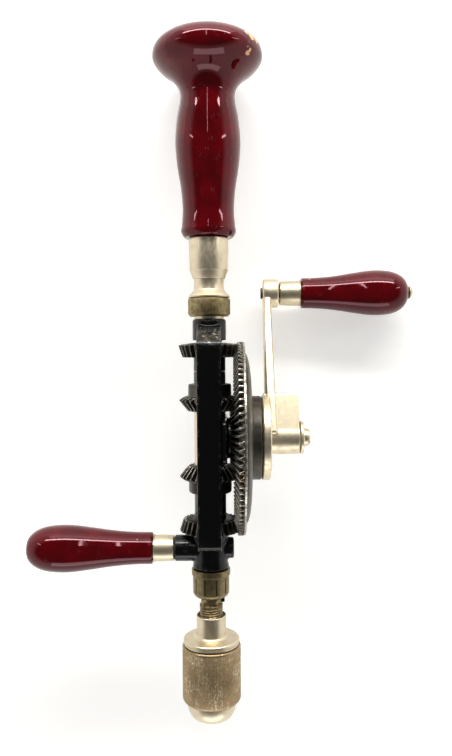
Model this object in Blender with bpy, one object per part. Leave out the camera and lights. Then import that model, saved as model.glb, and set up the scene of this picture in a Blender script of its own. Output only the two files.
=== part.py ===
"""Hand drill with a two-ring bevel drive, a ratchet and a three-jaw chuck.

The drill is modelled upright and then laid down: in the script z runs along the spindle towards the
main handle, x runs along the crank's axle and y runs towards the bench. All lengths are in metres.
The origin is on the spindle's axis, at the seat that a bit's square end rests on.
"""
import math

import bmesh
import bpy
from mathutils import Matrix, Vector

# Fits
SEAT_GAP = 0.0003
RUNNING_GAP = 0.00015
OVERRUN = 0.001
MERGE = 0.000001

# Facets round a turned piece
FINE_SIDES = 24
SIDES = 18
HANDLE_SIDES = 20
SMALL_SIDES = 12
CORNER_STEPS = 3
SMOOTH_ANGLE = math.radians(35)

# Bevel gears
MODULE = 0.00109
OUTER_TEETH = 90
INNER_TEETH = 38
PINION_TEETH = 28
PRESSURE_ANGLE = math.radians(20)
ADDENDUM = MODULE
DEDENDUM = 0.0013
TOOTH_THINNING = 0.00012
OUTER_FACE = 0.0066
INNER_FACE = 0.0073
OUTER_RING_OVERHANG = 0.0012
OUTER_PINION_BACK = 0.00095
PINION_BACK = 0.0007

# Spindle
SPINDLE_RADIUS = 0.0055
SPINDLE_BORE_RADIUS = 0.0023
THREAD_RADIUS = 0.0062
THREAD_BOTTOM = 0.007
EXPOSED_THREAD = 0.0055
NECK_LENGTH = 0.0047
SPINDLE_PIN_RADIUS = 0.0012
SPINDLE_PIN_DROP = 0.0025
SPINDLE_PIN_LEFT = 0.0039
SPINDLE_PIN_RIGHT = 0.0072
KEY_WIDTH = 0.0024
KEY_HEIGHT = 0.005
KEY_REACH = 0.0066
SHIFT_TRAVEL = 0.01
SPACER_RADIUS = 0.0082
PINION_HUB_RADIUS = 0.0113
PINION_HUB_LENGTH = 0.0064
PINION_SLEEVE_RADIUS = 0.0083
OUTER_SLEEVE_LENGTH = 0.0072
LOWER_SLEEVE_LENGTH = 0.0024
HUB_ROUNDING = 0.001

# Chuck
CHUCK_SEAT_DEPTH = 0.0362
BIT_BORE_RADIUS = 0.0049
NOSE_END_RADIUS = 0.0083
NOSE_RADIUS = 0.0131
NOSE_LENGTH = 0.0085
CORE_RADIUS = 0.0134
FLANGE_RADIUS = 0.0149
FLANGE_BOTTOM = 0.0034
FLANGE_TOP = 0.0067
CHUCK_FILLET = 0.0022
CHUCK_NECK_RADIUS = 0.00785
CHUCK_TOP = 0.019
CHUCK_SLEEVE_RADIUS = 0.01556
CHUCK_SLEEVE_BORE = 0.01395
CHUCK_SLEEVE_ROUNDING = 0.0015
NUT_TOP = -0.011
NUT_HEIGHT = 0.007
NUT_RADIUS = 0.0136
NUT_FLOOR_RADIUS = 0.0073
JAW_COUNT = 3
JAW_RADIUS = 0.003
JAW_LENGTH = 0.026
JAW_TILT = math.radians(15)
JAW_TOP = 0.001
JAW_TOP_OFFSET = 0.0096
JAW_HOLE_GAP = 0.00025
JAW_OPENING_RADIUS = 0.005

# Ratchet ring
RING_HEIGHT = 0.0149
RING_RADIUS = 0.0096
RING_FOOT_RADIUS = 0.0076
RING_FLANGE_RADIUS = 0.01026
RING_FLANGE_HEIGHT = 0.0036
RING_WALL = 0.0016
RING_ROUNDING = 0.0018
RING_SLOTS = 8
RING_SLOT_WIDTH = 0.0007
RING_SLOT_DEPTH = 0.0005
RING_TO_FRAME = 0.0005
PAWL_HEIGHT = 0.004
PAWL_SPREAD = math.radians(70)
DETENT_RADIUS = 0.0007

# Frame
BAR_OUTER = 0.022
BAR_THICKNESS = 0.0045
BAR_WIDTH = 0.0121
WINDOW_CORNER = 0.003
SHOULDER_RISE = 0.0087
FOOT_DROP = 0.005
FOOT_ROUNDING = 0.0042
TOP_BOSS_RADIUS = 0.0088
TOP_BOSS_HEIGHT = 0.0121
LOWER_BOSS_RADIUS = 0.0098
LOWER_BOSS_NECK_RADIUS = 0.0091
LOWER_BOSS_HEIGHT = 0.0184
LOWER_BOSS_TAPER = 0.0034
BOSS_BORE_RADIUS = 0.0072
BRIDGE_INNER = 0.004
BRIDGE_OUTER = 0.009
BRIDGE_HALF_HEIGHT = 0.0108
BRIDGE_RELIEF = 0.0087
BRIDGE_BOSS_RADIUS = 0.0108
BRIDGE_BOSS_END = 0.0135
ARM_DROP = 0.0082
ARM_RADIUS = 0.0069
ARM_LENGTH = 0.0192
ARM_BOSS_RADIUS = 0.0056
ARM_BOSS_LENGTH = 0.0123
ARM_CHAMFER = 0.0007
TOP_BUSH_HEIGHT = 0.0042
BALL_COUNT = 6
BALL_RADIUS = 0.0014
BALL_CIRCLE_RADIUS = 0.0046
CAGE_THICKNESS = 0.0014
CAGE_WIDTH = 0.0018

# Drive wheel
RIM_OVERHANG = 0.00135
RIM_THICKNESS = 0.0012
RIM_CHAMFER = 0.0003
RIM_BACK_WIDTH = 0.0056
DOME_RISE = 0.0033
DOME_TOP_RADIUS = 0.028
DOME_STEPS = 2
WHEEL_BOSS_RADIUS = 0.022
WHEEL_BOSS_HEIGHT = 0.0051
WHEEL_HUB_RADIUS = 0.0126
WHEEL_HUB_SINK = 0.003
INNER_RING_BORE = 0.012
RING_EMBED = 0.0006
STUD_RADIUS = 0.005

# Crank
CRANK_LEAN = math.radians(20)
CRANK_RADIUS = 0.0825
DISC_RADIUS = 0.0222
DISC_THICKNESS = 0.0045
CRANK_HUB_RADIUS = 0.0087
CRANK_HUB_LENGTH = 0.0156
WEB_REACH = 0.0223
WEB_WIDTH = 0.0124
ARM_INNER = 0.0295
ARM_ROOT_THICKNESS = 0.0049
ARM_END_THICKNESS = 0.0039
ARM_ROOT_WIDTH = 0.02
ARM_END_WIDTH = 0.0125
EYE_RADIUS = 0.008
EYE_LENGTH = 0.0087
CRANK_EDGE = 0.0006
DRIVE_PIN_RADIUS = 0.0018
DRIVE_PIN_OFFSET = 0.0155
DRIVE_PIN_DEPTH = 0.003
WASHER_RADIUS = 0.00865
WASHER_THICKNESS = 0.0016
SCREW_RADIUS = 0.0047
SCREW_HEAD_HEIGHT = 0.0034
SCREW_SHANK_RADIUS = 0.0024
SCREW_SHANK_LENGTH = 0.008
SCREW_SLOT_WIDTH = 0.0012
SCREW_SLOT_DEPTH = 0.0012

# Handles
FERRULE_RADIUS = 0.0067
FERRULE_TAPER = 0.0004
SIDE_FERRULE_LENGTH = 0.0108
GRIP_FERRULE_LENGTH = 0.0116
FERRULE_WALL = 0.0009
SIDE_HANDLE_LENGTH = 0.0671
SIDE_HANDLE_RADIUS = 0.0124
GRIP_LENGTH = 0.0602
GRIP_RADIUS = 0.0126
GRIP_TO_EYE = 0.0008
SIDE_STUD_RADIUS = 0.0034
SIDE_STUD_LENGTH = 0.052
CRANK_PIN_RADIUS = 0.0025
CRANK_PIN_HEAD_RADIUS = 0.0031
CRANK_PIN_HEAD = 0.0009
RIVET_CAP_RADIUS = 0.0036
RIVET_CAP_HEIGHT = 0.0023
MAIN_HANDLE_LENGTH = 0.1054
MAIN_HANDLE_RADIUS = 0.0284
TENON_RADIUS = 0.0082
TENON_LENGTH = 0.012
BOLT_RADIUS = 0.003
BOLT_LENGTH = 0.05

# Handle socket, speed collar and what the collar shifts
COLLAR_RADIUS = 0.011
COLLAR_HEIGHT = 0.0094
COLLAR_CHAMFER = 0.0009
COLLAR_WALL = 0.003
COLLAR_TO_FRAME = 0.0013
PLUG_HEIGHT = 0.0024
SOCKET_CONE_HEIGHT = 0.0049
SOCKET_CONE_RADIUS = 0.0109
SOCKET_NECK_RADIUS = 0.00783
SOCKET_NECK_HEIGHT = 0.0055
SOCKET_TAPER_HEIGHT = 0.0044
SOCKET_FOOT_RADIUS = 0.01006
SOCKET_RADIUS = 0.0103
SOCKET_TUBE_HEIGHT = 0.016
SOCKET_PIN_RADIUS = 0.0007
SLIDER_RADIUS = 0.0042
SLIDER_HEIGHT = 0.005
SLIDER_PEG_RADIUS = 0.0008
SLIDER_PEG_REACH = 0.0056
ROD_RADIUS = 0.0019

# Outlines of the turned handles: share of the length, share of the largest radius
MAIN_HANDLE_SHARES = (
    (0, 0.44), (0.01, 0.472), (0.031, 0.504), (0.062, 0.489), (0.138, 0.472), (0.232, 0.496),
    (0.327, 0.553), (0.403, 0.585), (0.479, 0.595), (0.574, 0.563), (0.65, 0.511), (0.693, 0.5),
    (0.731, 0.542), (0.769, 0.658), (0.807, 0.845), (0.845, 0.968), (0.877, 1), (0.915, 0.961),
    (0.948, 0.838), (0.972, 0.651), (0.99, 0.423), (1, 0),
)
GRIP_SHARES = (
    (0, 0.62), (0.012, 0.668), (0.1, 0.675), (0.22, 0.71), (0.35, 0.785), (0.48, 0.885),
    (0.6, 0.97), (0.68, 1), (0.76, 0.99), (0.84, 0.935), (0.905, 0.82), (0.955, 0.64), (0.985, 0.42),
)

# Places worked out from the sizes
OUTER_REACH = MODULE * OUTER_TEETH / 2
WHEEL_RADIUS = OUTER_REACH + RIM_OVERHANG
OUTER_PINION_END = OUTER_REACH + OUTER_PINION_BACK
WINDOW_HALF = OUTER_PINION_END + SEAT_GAP
THREAD_TOP = CHUCK_TOP + EXPOSED_THREAD
RING_BOTTOM = THREAD_TOP + NECK_LENGTH
FRAME_BOTTOM = RING_BOTTOM + RING_HEIGHT + RING_TO_FRAME
WINDOW_BOTTOM = FRAME_BOTTOM + LOWER_BOSS_HEIGHT
WHEEL_Z = WINDOW_BOTTOM + WINDOW_HALF
WINDOW_TOP = WHEEL_Z + WINDOW_HALF
FRAME_TOP = WINDOW_TOP + TOP_BOSS_HEIGHT
COLLAR_BOTTOM = FRAME_TOP + COLLAR_TO_FRAME
COLLAR_TOP = COLLAR_BOTTOM + COLLAR_HEIGHT
SOCKET_CONE_BOTTOM = COLLAR_TOP + SEAT_GAP
SOCKET_NECK_BOTTOM = SOCKET_CONE_BOTTOM + SOCKET_CONE_HEIGHT
SOCKET_TAPER_BOTTOM = SOCKET_NECK_BOTTOM + SOCKET_NECK_HEIGHT
SOCKET_TUBE_BOTTOM = SOCKET_TAPER_BOTTOM + SOCKET_TAPER_HEIGHT
SOCKET_TOP = SOCKET_TUBE_BOTTOM + SOCKET_TUBE_HEIGHT
HANDLE_BOTTOM = SOCKET_TOP + SEAT_GAP
SPIGOT_RADIUS = COLLAR_RADIUS - COLLAR_WALL - SEAT_GAP


def clear_bore(shaft_radius, gap, sides):
    """Radius of a bore with so many sides whose flats clear a shaft by the gap."""
    return (shaft_radius + gap) / math.cos(math.pi / sides)


def material(name, hex_colour, roughness, metallic):
    """Principled material with an sRGB colour, made once."""
    found = bpy.data.materials.get(name)
    if found:
        return found
    made = bpy.data.materials.new(name)
    made.use_nodes = True
    channels = [int(hex_colour[i:i + 2], 16) / 255 for i in (0, 2, 4)]
    linear = [c / 12.92 if c <= 0.04045 else ((c + 0.055) / 1.055) ** 2.4 for c in channels]
    shader = made.node_tree.nodes["Principled BSDF"]
    shader.inputs["Base Color"].default_value = (*linear, 1)
    shader.inputs["Roughness"].default_value = roughness
    shader.inputs["Metallic"].default_value = metallic
    made.diffuse_color = (*linear, 1)
    return made


def lacquer():
    return material("red_lacquer", "5a0f1e", 0.12, 0)


def nickel():
    return material("worn_nickel", "b9ad9b", 0.32, 1)


def black_enamel():
    return material("black_enamel", "151515", 0.35, 0)


def dark_steel():
    return material("dark_steel", "3b3a38", 0.4, 1)


def brass():
    return material("aged_brass", "7c6f55", 0.45, 1)


def bronze():
    return material("bronze", "9a7440", 0.35, 1)


def tool_steel():
    return material("tool_steel", "8d8a85", 0.3, 1)


def empty(name, parent=None, location=(0, 0, 0), rotation=(0, 0, 0)):
    """Empty that carries what moves or leans together."""
    made = bpy.data.objects.new(name, None)
    bpy.context.collection.objects.link(made)
    made.parent = parent
    made.location = location
    made.rotation_euler = rotation
    return made


def to_object(name, mesh, finish, parent, location=(0, 0, 0), rotation=(0, 0, 0)):
    """Named object from a finished bmesh, with its normals out and its round faces smooth."""
    bmesh.ops.remove_doubles(mesh, verts=mesh.verts, dist=MERGE)
    bmesh.ops.recalc_face_normals(mesh, faces=mesh.faces)
    data = bpy.data.meshes.new(name)
    mesh.to_mesh(data)
    mesh.free()
    data.shade_smooth()
    data.set_sharp_from_angle(angle=SMOOTH_ANGLE)
    made = bpy.data.objects.new(name, data)
    bpy.context.collection.objects.link(made)
    made.parent = parent
    made.location = location
    made.rotation_euler = rotation
    if finish:
        data.materials.append(finish)
    return made


def turned_mesh(outline, sides, sweep=math.tau):
    """Outline of (radius, height) points turned about z; an arc of a ring gets its two end faces."""
    mesh = bmesh.new()
    ring = [mesh.verts.new((radius, 0, height)) for radius, height in outline]
    solid = outline[0][0] == 0 and outline[-1][0] == 0
    pairs = list(zip(ring, ring[1:]))
    if not solid:
        pairs.append((ring[-1], ring[0]))
    edges = [mesh.edges.new(pair) for pair in pairs]
    whole = abs(sweep - math.tau) < SMOOTH_ANGLE
    geometry = edges if whole else [mesh.faces.new(ring)]
    if not whole:
        geometry = geometry + list(mesh.edges) + list(mesh.verts)
    bmesh.ops.spin(mesh, geom=geometry, axis=(0, 0, 1), cent=(0, 0, 0), angle=sweep, steps=sides,
                   use_merge=whole)
    if whole and solid:
        bmesh.ops.remove_doubles(mesh, verts=mesh.verts, dist=MERGE)
        bmesh.ops.dissolve_degenerate(mesh, edges=mesh.edges, dist=MERGE)
    return mesh


def turned(name, outline, finish, parent, sides=SIDES, sweep=math.tau, **place):
    return to_object(name, turned_mesh(outline, sides, sweep), finish, parent, **place)


def rod(name, radius, low, high, finish, parent, sides=SMALL_SIDES, **place):
    """Plain round bar from the low to the high height."""
    outline = [(0, low), (radius, low), (radius, high), (0, high)]
    return turned(name, outline, finish, parent, sides, **place)


def tube(name, inner, outer, low, high, finish, parent, sides=SIDES, **place):
    """Ring with square ends."""
    outline = [(inner, low), (outer, low), (outer, high), (inner, high)]
    return turned(name, outline, finish, parent, sides, **place)


def rounded(corners, radius):
    """Closed outline with each corner turned into an arc of the given radius."""
    points = []
    count = len(corners)
    for index, corner in enumerate(corners):
        here = Vector(corner)
        before = (Vector(corners[index - 1]) - here).normalized()
        after = (Vector(corners[(index + 1) % count]) - here).normalized()
        half = before.angle(after) / 2
        centre = here + (before + after).normalized() * radius / math.sin(half)
        start = here + before * radius / math.tan(half) - centre
        end = here + after * radius / math.tan(half) - centre
        turn = start.angle_signed(end)
        for step in range(CORNER_STEPS + 1):
            spun = start.copy()
            spun.rotate(Matrix.Rotation(-turn * step / CORNER_STEPS, 2))
            points.append(tuple(centre + spun))
    return points


def prism(name, outline, low, high, axis, finish, parent, **place):
    """Outline extruded along an axis; on x it holds (y, z) points, on y (x, z) and on z (x, y)."""
    mesh = bmesh.new()
    order = {"x": (2, 0, 1), "y": (0, 2, 1), "z": (0, 1, 2)}[axis]

    def spot(point, depth):
        values = (*point, depth)
        return tuple(values[i] for i in order)

    base = mesh.faces.new([mesh.verts.new(spot(point, low)) for point in outline])
    grown = bmesh.ops.extrude_face_region(mesh, geom=[base])
    moved = [item for item in grown["geom"] if isinstance(item, bmesh.types.BMVert)]
    shift = Vector(spot((0, 0), high)) - Vector(spot((0, 0), low))
    bmesh.ops.translate(mesh, verts=moved, vec=shift)
    return to_object(name, mesh, finish, parent, **place)


def box(name, low, high, finish, parent, **place):
    """Plain block between two corners."""
    outline = [(low[0], low[1]), (high[0], low[1]), (high[0], high[1]), (low[0], high[1])]
    return prism(name, outline, low[2], high[2], "z", finish, parent, **place)


def combine(target, others, operation):
    """Boolean of each other shape with the target; the others stay as guides."""
    for other in others:
        modifier = target.modifiers.new(other.name, "BOOLEAN")
        modifier.operation = operation
        modifier.object = other
        target.modifiers.new(f"{other.name}_faces", "TRIANGULATE")
        other.hide_render = True
        other.display_type = "WIRE"
    return target


def cut(target, *others):
    return combine(target, others, "DIFFERENCE")


def fuse(target, *others):
    return combine(target, others, "UNION")


class BevelGear:
    """Straight bevel gear about z with its cones meeting at the origin, drawn on its back cone."""

    def __init__(self, teeth, mate_teeth):
        self.teeth = teeth
        self.pitch_angle = math.atan2(teeth, mate_teeth)
        self.cone_distance = MODULE * teeth / 2 / math.sin(self.pitch_angle)
        self.virtual_radius = MODULE * teeth / 2 / math.cos(self.pitch_angle)
        self.root = self.virtual_radius - DEDENDUM
        self.tip = self.virtual_radius + ADDENDUM

    def half_thickness(self, radius):
        """Half of the tooth's angle about the gear's axis, at a radius on the back cone."""
        base = self.virtual_radius * math.cos(PRESSURE_ANGLE)
        pressure = math.acos(base / max(radius, base))
        involute = math.tan(pressure) - pressure
        pitch_involute = math.tan(PRESSURE_ANGLE) - PRESSURE_ANGLE
        pitch_half = math.pi / 2 * math.cos(self.pitch_angle) / self.teeth
        thinning = TOOTH_THINNING / 2 / self.virtual_radius
        return (pitch_half - thinning + pitch_involute - involute) / math.cos(self.pitch_angle)

    def place(self, radius, scale):
        """Real radius and height of a point on the back cone, drawn in towards the apex."""
        out = radius * math.cos(self.pitch_angle)
        up = self.cone_distance / math.cos(self.pitch_angle) - radius * math.sin(self.pitch_angle)
        return out * scale, up * scale

    def tooth(self, centre, scale, levels):
        """Points of one tooth at one end of its face, up one flank and down the other."""
        points = []
        for side, radii in ((-1, levels), (1, levels[::-1])):
            for radius in radii:
                angle = centre + side * self.half_thickness(radius)
                out, up = self.place(radius, scale)
                points.append((out * math.cos(angle), out * math.sin(angle), up))
        return points

    def levels(self, flank_steps):
        """Radii on the back cone from the root to the tip."""
        step = (self.tip - self.root) / flank_steps
        return [self.root + step * index for index in range(flank_steps)] + [self.tip]


def toothed_mesh(gear, big_scale, small_scale, section, flank_steps, first_angle, facet_teeth=1):
    """Closed toothed ring: teeth between two scales, then the section's rings round the back.

    Each facet of the plain rings spans facet_teeth teeth, which divides the number of teeth.
    """
    mesh = bmesh.new()
    pitch = math.tau / gear.teeth
    levels = gear.levels(flank_steps)
    facets = range(gear.teeth // facet_teeth)

    def tooth_ring(scale):
        return [[mesh.verts.new(point) for point in gear.tooth(first_angle + pitch * i, scale, levels)]
                for i in range(gear.teeth)]

    def plain_ring(radius, height):
        angles = [first_angle + pitch * ((i + 1) * facet_teeth - 1 / 2) for i in facets]
        return [mesh.verts.new((radius * math.cos(a), radius * math.sin(a), height)) for a in angles]

    big = tooth_ring(big_scale)
    small = tooth_ring(small_scale)
    rings = [plain_ring(radius, height) for radius, height in section]
    for i in range(gear.teeth):
        run_big = big[i] + big[(i + 1) % gear.teeth][:1]
        run_small = small[i] + small[(i + 1) % gear.teeth][:1]
        for k in range(len(big[i])):
            mesh.faces.new((run_big[k], run_big[k + 1], run_small[k + 1], run_small[k]))
    for i in facets:
        first = i * facet_teeth
        last = first + facet_teeth
        for teeth, ring in ((big, rings[0]), (small, rings[-1])):
            run = [point for tooth in teeth[first:last] for point in tooth]
            mesh.faces.new(run + [ring[i], ring[i - 1]])
            mesh.faces.new((run[-1], teeth[last % gear.teeth][0], ring[i]))
        for low, high in zip(rings, rings[1:]):
            mesh.faces.new((low[i - 1], low[i], high[i], high[i - 1]))
    return mesh


OUTER_PINION = BevelGear(PINION_TEETH, OUTER_TEETH)
INNER_PINION = BevelGear(PINION_TEETH, INNER_TEETH)
OUTER_RING = BevelGear(OUTER_TEETH, PINION_TEETH)
INNER_RING = BevelGear(INNER_TEETH, PINION_TEETH)
OUTER_SMALL_SCALE = 1 - OUTER_FACE / OUTER_RING.cone_distance
INNER_SMALL_SCALE = 1 - INNER_FACE / INNER_RING.cone_distance
OUTER_BIG_SCALE = 1 + OUTER_RING_OVERHANG / OUTER_RING.cone_distance
OUTER_FRONT = OUTER_PINION.place(OUTER_PINION.tip, OUTER_SMALL_SCALE)[1]
INNER_FRONT = INNER_PINION.place(INNER_PINION.tip, INNER_SMALL_SCALE)[1]
INNER_BACK = INNER_PINION.place(INNER_PINION.root, 1)[1] + PINION_BACK
INNER_HUB_END = INNER_BACK + PINION_HUB_LENGTH
PINION_BORE = clear_bore(SPINDLE_RADIUS, RUNNING_GAP, PINION_TEETH)
PINION_FLANK_STEPS = 1
WHEEL_FLANK_STEPS = 1
WHEEL_FACET_TEETH = 3

KEY_TOP = WHEEL_Z - OUTER_FRONT
KEY_BOTTOM = KEY_TOP - KEY_HEIGHT
SPINDLE_TOP = WINDOW_TOP + TOP_BUSH_HEIGHT + SEAT_GAP
PLUG_BOTTOM = FRAME_TOP - PLUG_HEIGHT
PLUG_RADIUS = BOSS_BORE_RADIUS - SEAT_GAP
SLIDER_BORE_RADIUS = SLIDER_RADIUS + SEAT_GAP
SLIDER_BOTTOM = COLLAR_BOTTOM + SEAT_GAP
SLIDER_TOP = SLIDER_BOTTOM + SLIDER_HEIGHT
ROD_HEAD_RADIUS = (ROD_RADIUS + SLIDER_RADIUS) / 2
ROD_HEAD_HEIGHT = ROD_RADIUS

PLATE_FRONT = OUTER_RING.place(OUTER_RING.root, OUTER_BIG_SCALE)[1] + SEAT_GAP / 2
PLATE_BACK = PLATE_FRONT + RIM_THICKNESS
DOME_TOP = PLATE_BACK + DOME_RISE
WHEEL_BOSS_TOP = DOME_TOP + WHEEL_BOSS_HEIGHT
WHEEL_HUB_FRONT = PLATE_FRONT - WHEEL_HUB_SINK
STUD_BORE = clear_bore(STUD_RADIUS, RUNNING_GAP, SIDES)
DISC_BOTTOM = WHEEL_BOSS_TOP + SEAT_GAP
DISC_TOP = DISC_BOTTOM + DISC_THICKNESS
CRANK_END = DISC_TOP + CRANK_HUB_LENGTH
WASHER_BOTTOM = CRANK_END + SEAT_GAP
WASHER_TOP = WASHER_BOTTOM + WASHER_THICKNESS
ARM_TOP = ARM_INNER + ARM_ROOT_THICKNESS
EYE_BOTTOM = ARM_INNER - SEAT_GAP / 2
EYE_TOP = EYE_BOTTOM + EYE_LENGTH
FERRULE_BOTTOM = EYE_TOP + GRIP_TO_EYE
GRIP_BOTTOM = FERRULE_BOTTOM + GRIP_FERRULE_LENGTH + SEAT_GAP
GRIP_TOP = GRIP_BOTTOM + GRIP_LENGTH
GRIP_BORE = clear_bore(CRANK_PIN_RADIUS, RUNNING_GAP, HANDLE_SIDES)

ARM_Z = WINDOW_BOTTOM - ARM_DROP
SIDE_FERRULE_BOTTOM = ARM_LENGTH + SEAT_GAP
SIDE_HANDLE_BOTTOM = SIDE_FERRULE_BOTTOM + SIDE_FERRULE_LENGTH + SEAT_GAP
TENON_BORE_RADIUS = BOLT_RADIUS + SEAT_GAP
FERRULE_BORE = FERRULE_RADIUS - FERRULE_WALL


def make_pinions(root):
    """Two outer and two inner pinions, each free on the spindle, with their sleeves end to end."""
    def outer_section(sleeve_end):
        return [(PINION_SLEEVE_RADIUS, OUTER_PINION_END), (PINION_BORE, OUTER_PINION_END),
                (PINION_BORE, sleeve_end), (PINION_SLEEVE_RADIUS, sleeve_end),
                (PINION_SLEEVE_RADIUS, OUTER_FRONT)]

    def inner_section(sleeve_end, relief):
        section = [(PINION_HUB_RADIUS + HUB_ROUNDING, INNER_BACK), (PINION_HUB_RADIUS, INNER_BACK),
                   (PINION_HUB_RADIUS, INNER_HUB_END - HUB_ROUNDING),
                   (PINION_HUB_RADIUS - HUB_ROUNDING, INNER_HUB_END),
                   (PINION_SLEEVE_RADIUS, INNER_HUB_END), (PINION_SLEEVE_RADIUS, sleeve_end)]
        if relief:
            step = OUTER_FRONT - SHIFT_TRAVEL - SEAT_GAP
            section += [(KEY_REACH + SEAT_GAP, sleeve_end), (KEY_REACH + SEAT_GAP, step),
                        (PINION_BORE, step)]
        else:
            section.append((PINION_BORE, sleeve_end))
        return section + [(PINION_BORE, INNER_FRONT), (PINION_SLEEVE_RADIUS, INNER_FRONT)]

    for side, turn, stub in (("top", 0, OUTER_SLEEVE_LENGTH), ("bottom", math.pi, LOWER_SLEEVE_LENGTH)):
        meeting = OUTER_FRONT - stub
        keyed = side == "bottom"
        place = {"location": (0, 0, WHEEL_Z), "rotation": (turn, 0, 0)}
        mesh = toothed_mesh(OUTER_PINION, 1, OUTER_SMALL_SCALE, outer_section(meeting),
                            PINION_FLANK_STEPS, 0)
        outer = to_object(f"outer_pinion_{side}", mesh, dark_steel(), root, **place)
        mesh = toothed_mesh(INNER_PINION, 1, INNER_SMALL_SCALE, inner_section(meeting - SEAT_GAP, keyed),
                            PINION_FLANK_STEPS, 0)
        to_object(f"inner_pinion_{side}", mesh, dark_steel(), root, **place)
        if keyed:
            reach = KEY_REACH + SEAT_GAP
            half = KEY_WIDTH / 2 + SEAT_GAP
            cut(outer, box("keyway", (-reach, -half, meeting - OVERRUN),
                           (reach, half, OUTER_PINION_END + OVERRUN), None, root, **place))


def make_wheel(pivot):
    """Drive wheel: a domed plate with an outer and an inner ring of bevel teeth and a boss."""
    edge = WHEEL_RADIUS - RIM_BACK_WIDTH
    inner_small = INNER_RING.place(INNER_RING.root, INNER_SMALL_SCALE)[1]
    outer_small = OUTER_RING.place(OUTER_RING.root, OUTER_SMALL_SCALE)[0]
    section = [(WHEEL_RADIUS, PLATE_FRONT + RIM_CHAMFER), (WHEEL_RADIUS, PLATE_BACK - RIM_CHAMFER),
               (WHEEL_RADIUS - RIM_CHAMFER, PLATE_BACK)]
    for step in range(DOME_STEPS + 1):
        turn = math.pi / 2 * step / DOME_STEPS
        section.append((edge - (edge - DOME_TOP_RADIUS) * (1 - math.cos(turn)),
                        PLATE_BACK + DOME_RISE * math.sin(turn)))
    section += [(WHEEL_BOSS_RADIUS, DOME_TOP), (WHEEL_BOSS_RADIUS, WHEEL_BOSS_TOP - CRANK_EDGE),
                (WHEEL_BOSS_RADIUS - CRANK_EDGE, WHEEL_BOSS_TOP), (STUD_BORE, WHEEL_BOSS_TOP),
                (STUD_BORE, WHEEL_HUB_FRONT), (WHEEL_HUB_RADIUS, WHEEL_HUB_FRONT),
                (WHEEL_HUB_RADIUS, PLATE_FRONT), (outer_small - SEAT_GAP, PLATE_FRONT)]
    mesh = toothed_mesh(OUTER_RING, OUTER_BIG_SCALE, OUTER_SMALL_SCALE, section, WHEEL_FLANK_STEPS,
                        math.pi / OUTER_TEETH, WHEEL_FACET_TEETH)
    wheel = to_object("drive_wheel", mesh, dark_steel(), pivot)
    base = PLATE_FRONT + RING_EMBED
    section = [(INNER_RING.place(INNER_RING.root, 1)[0], base), (INNER_RING_BORE, base),
               (INNER_RING_BORE, inner_small)]
    mesh = toothed_mesh(INNER_RING, 1, INNER_SMALL_SCALE, section, WHEEL_FLANK_STEPS,
                        math.pi / INNER_TEETH)
    return fuse(wheel, to_object("inner_teeth", mesh, None, pivot))


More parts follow.
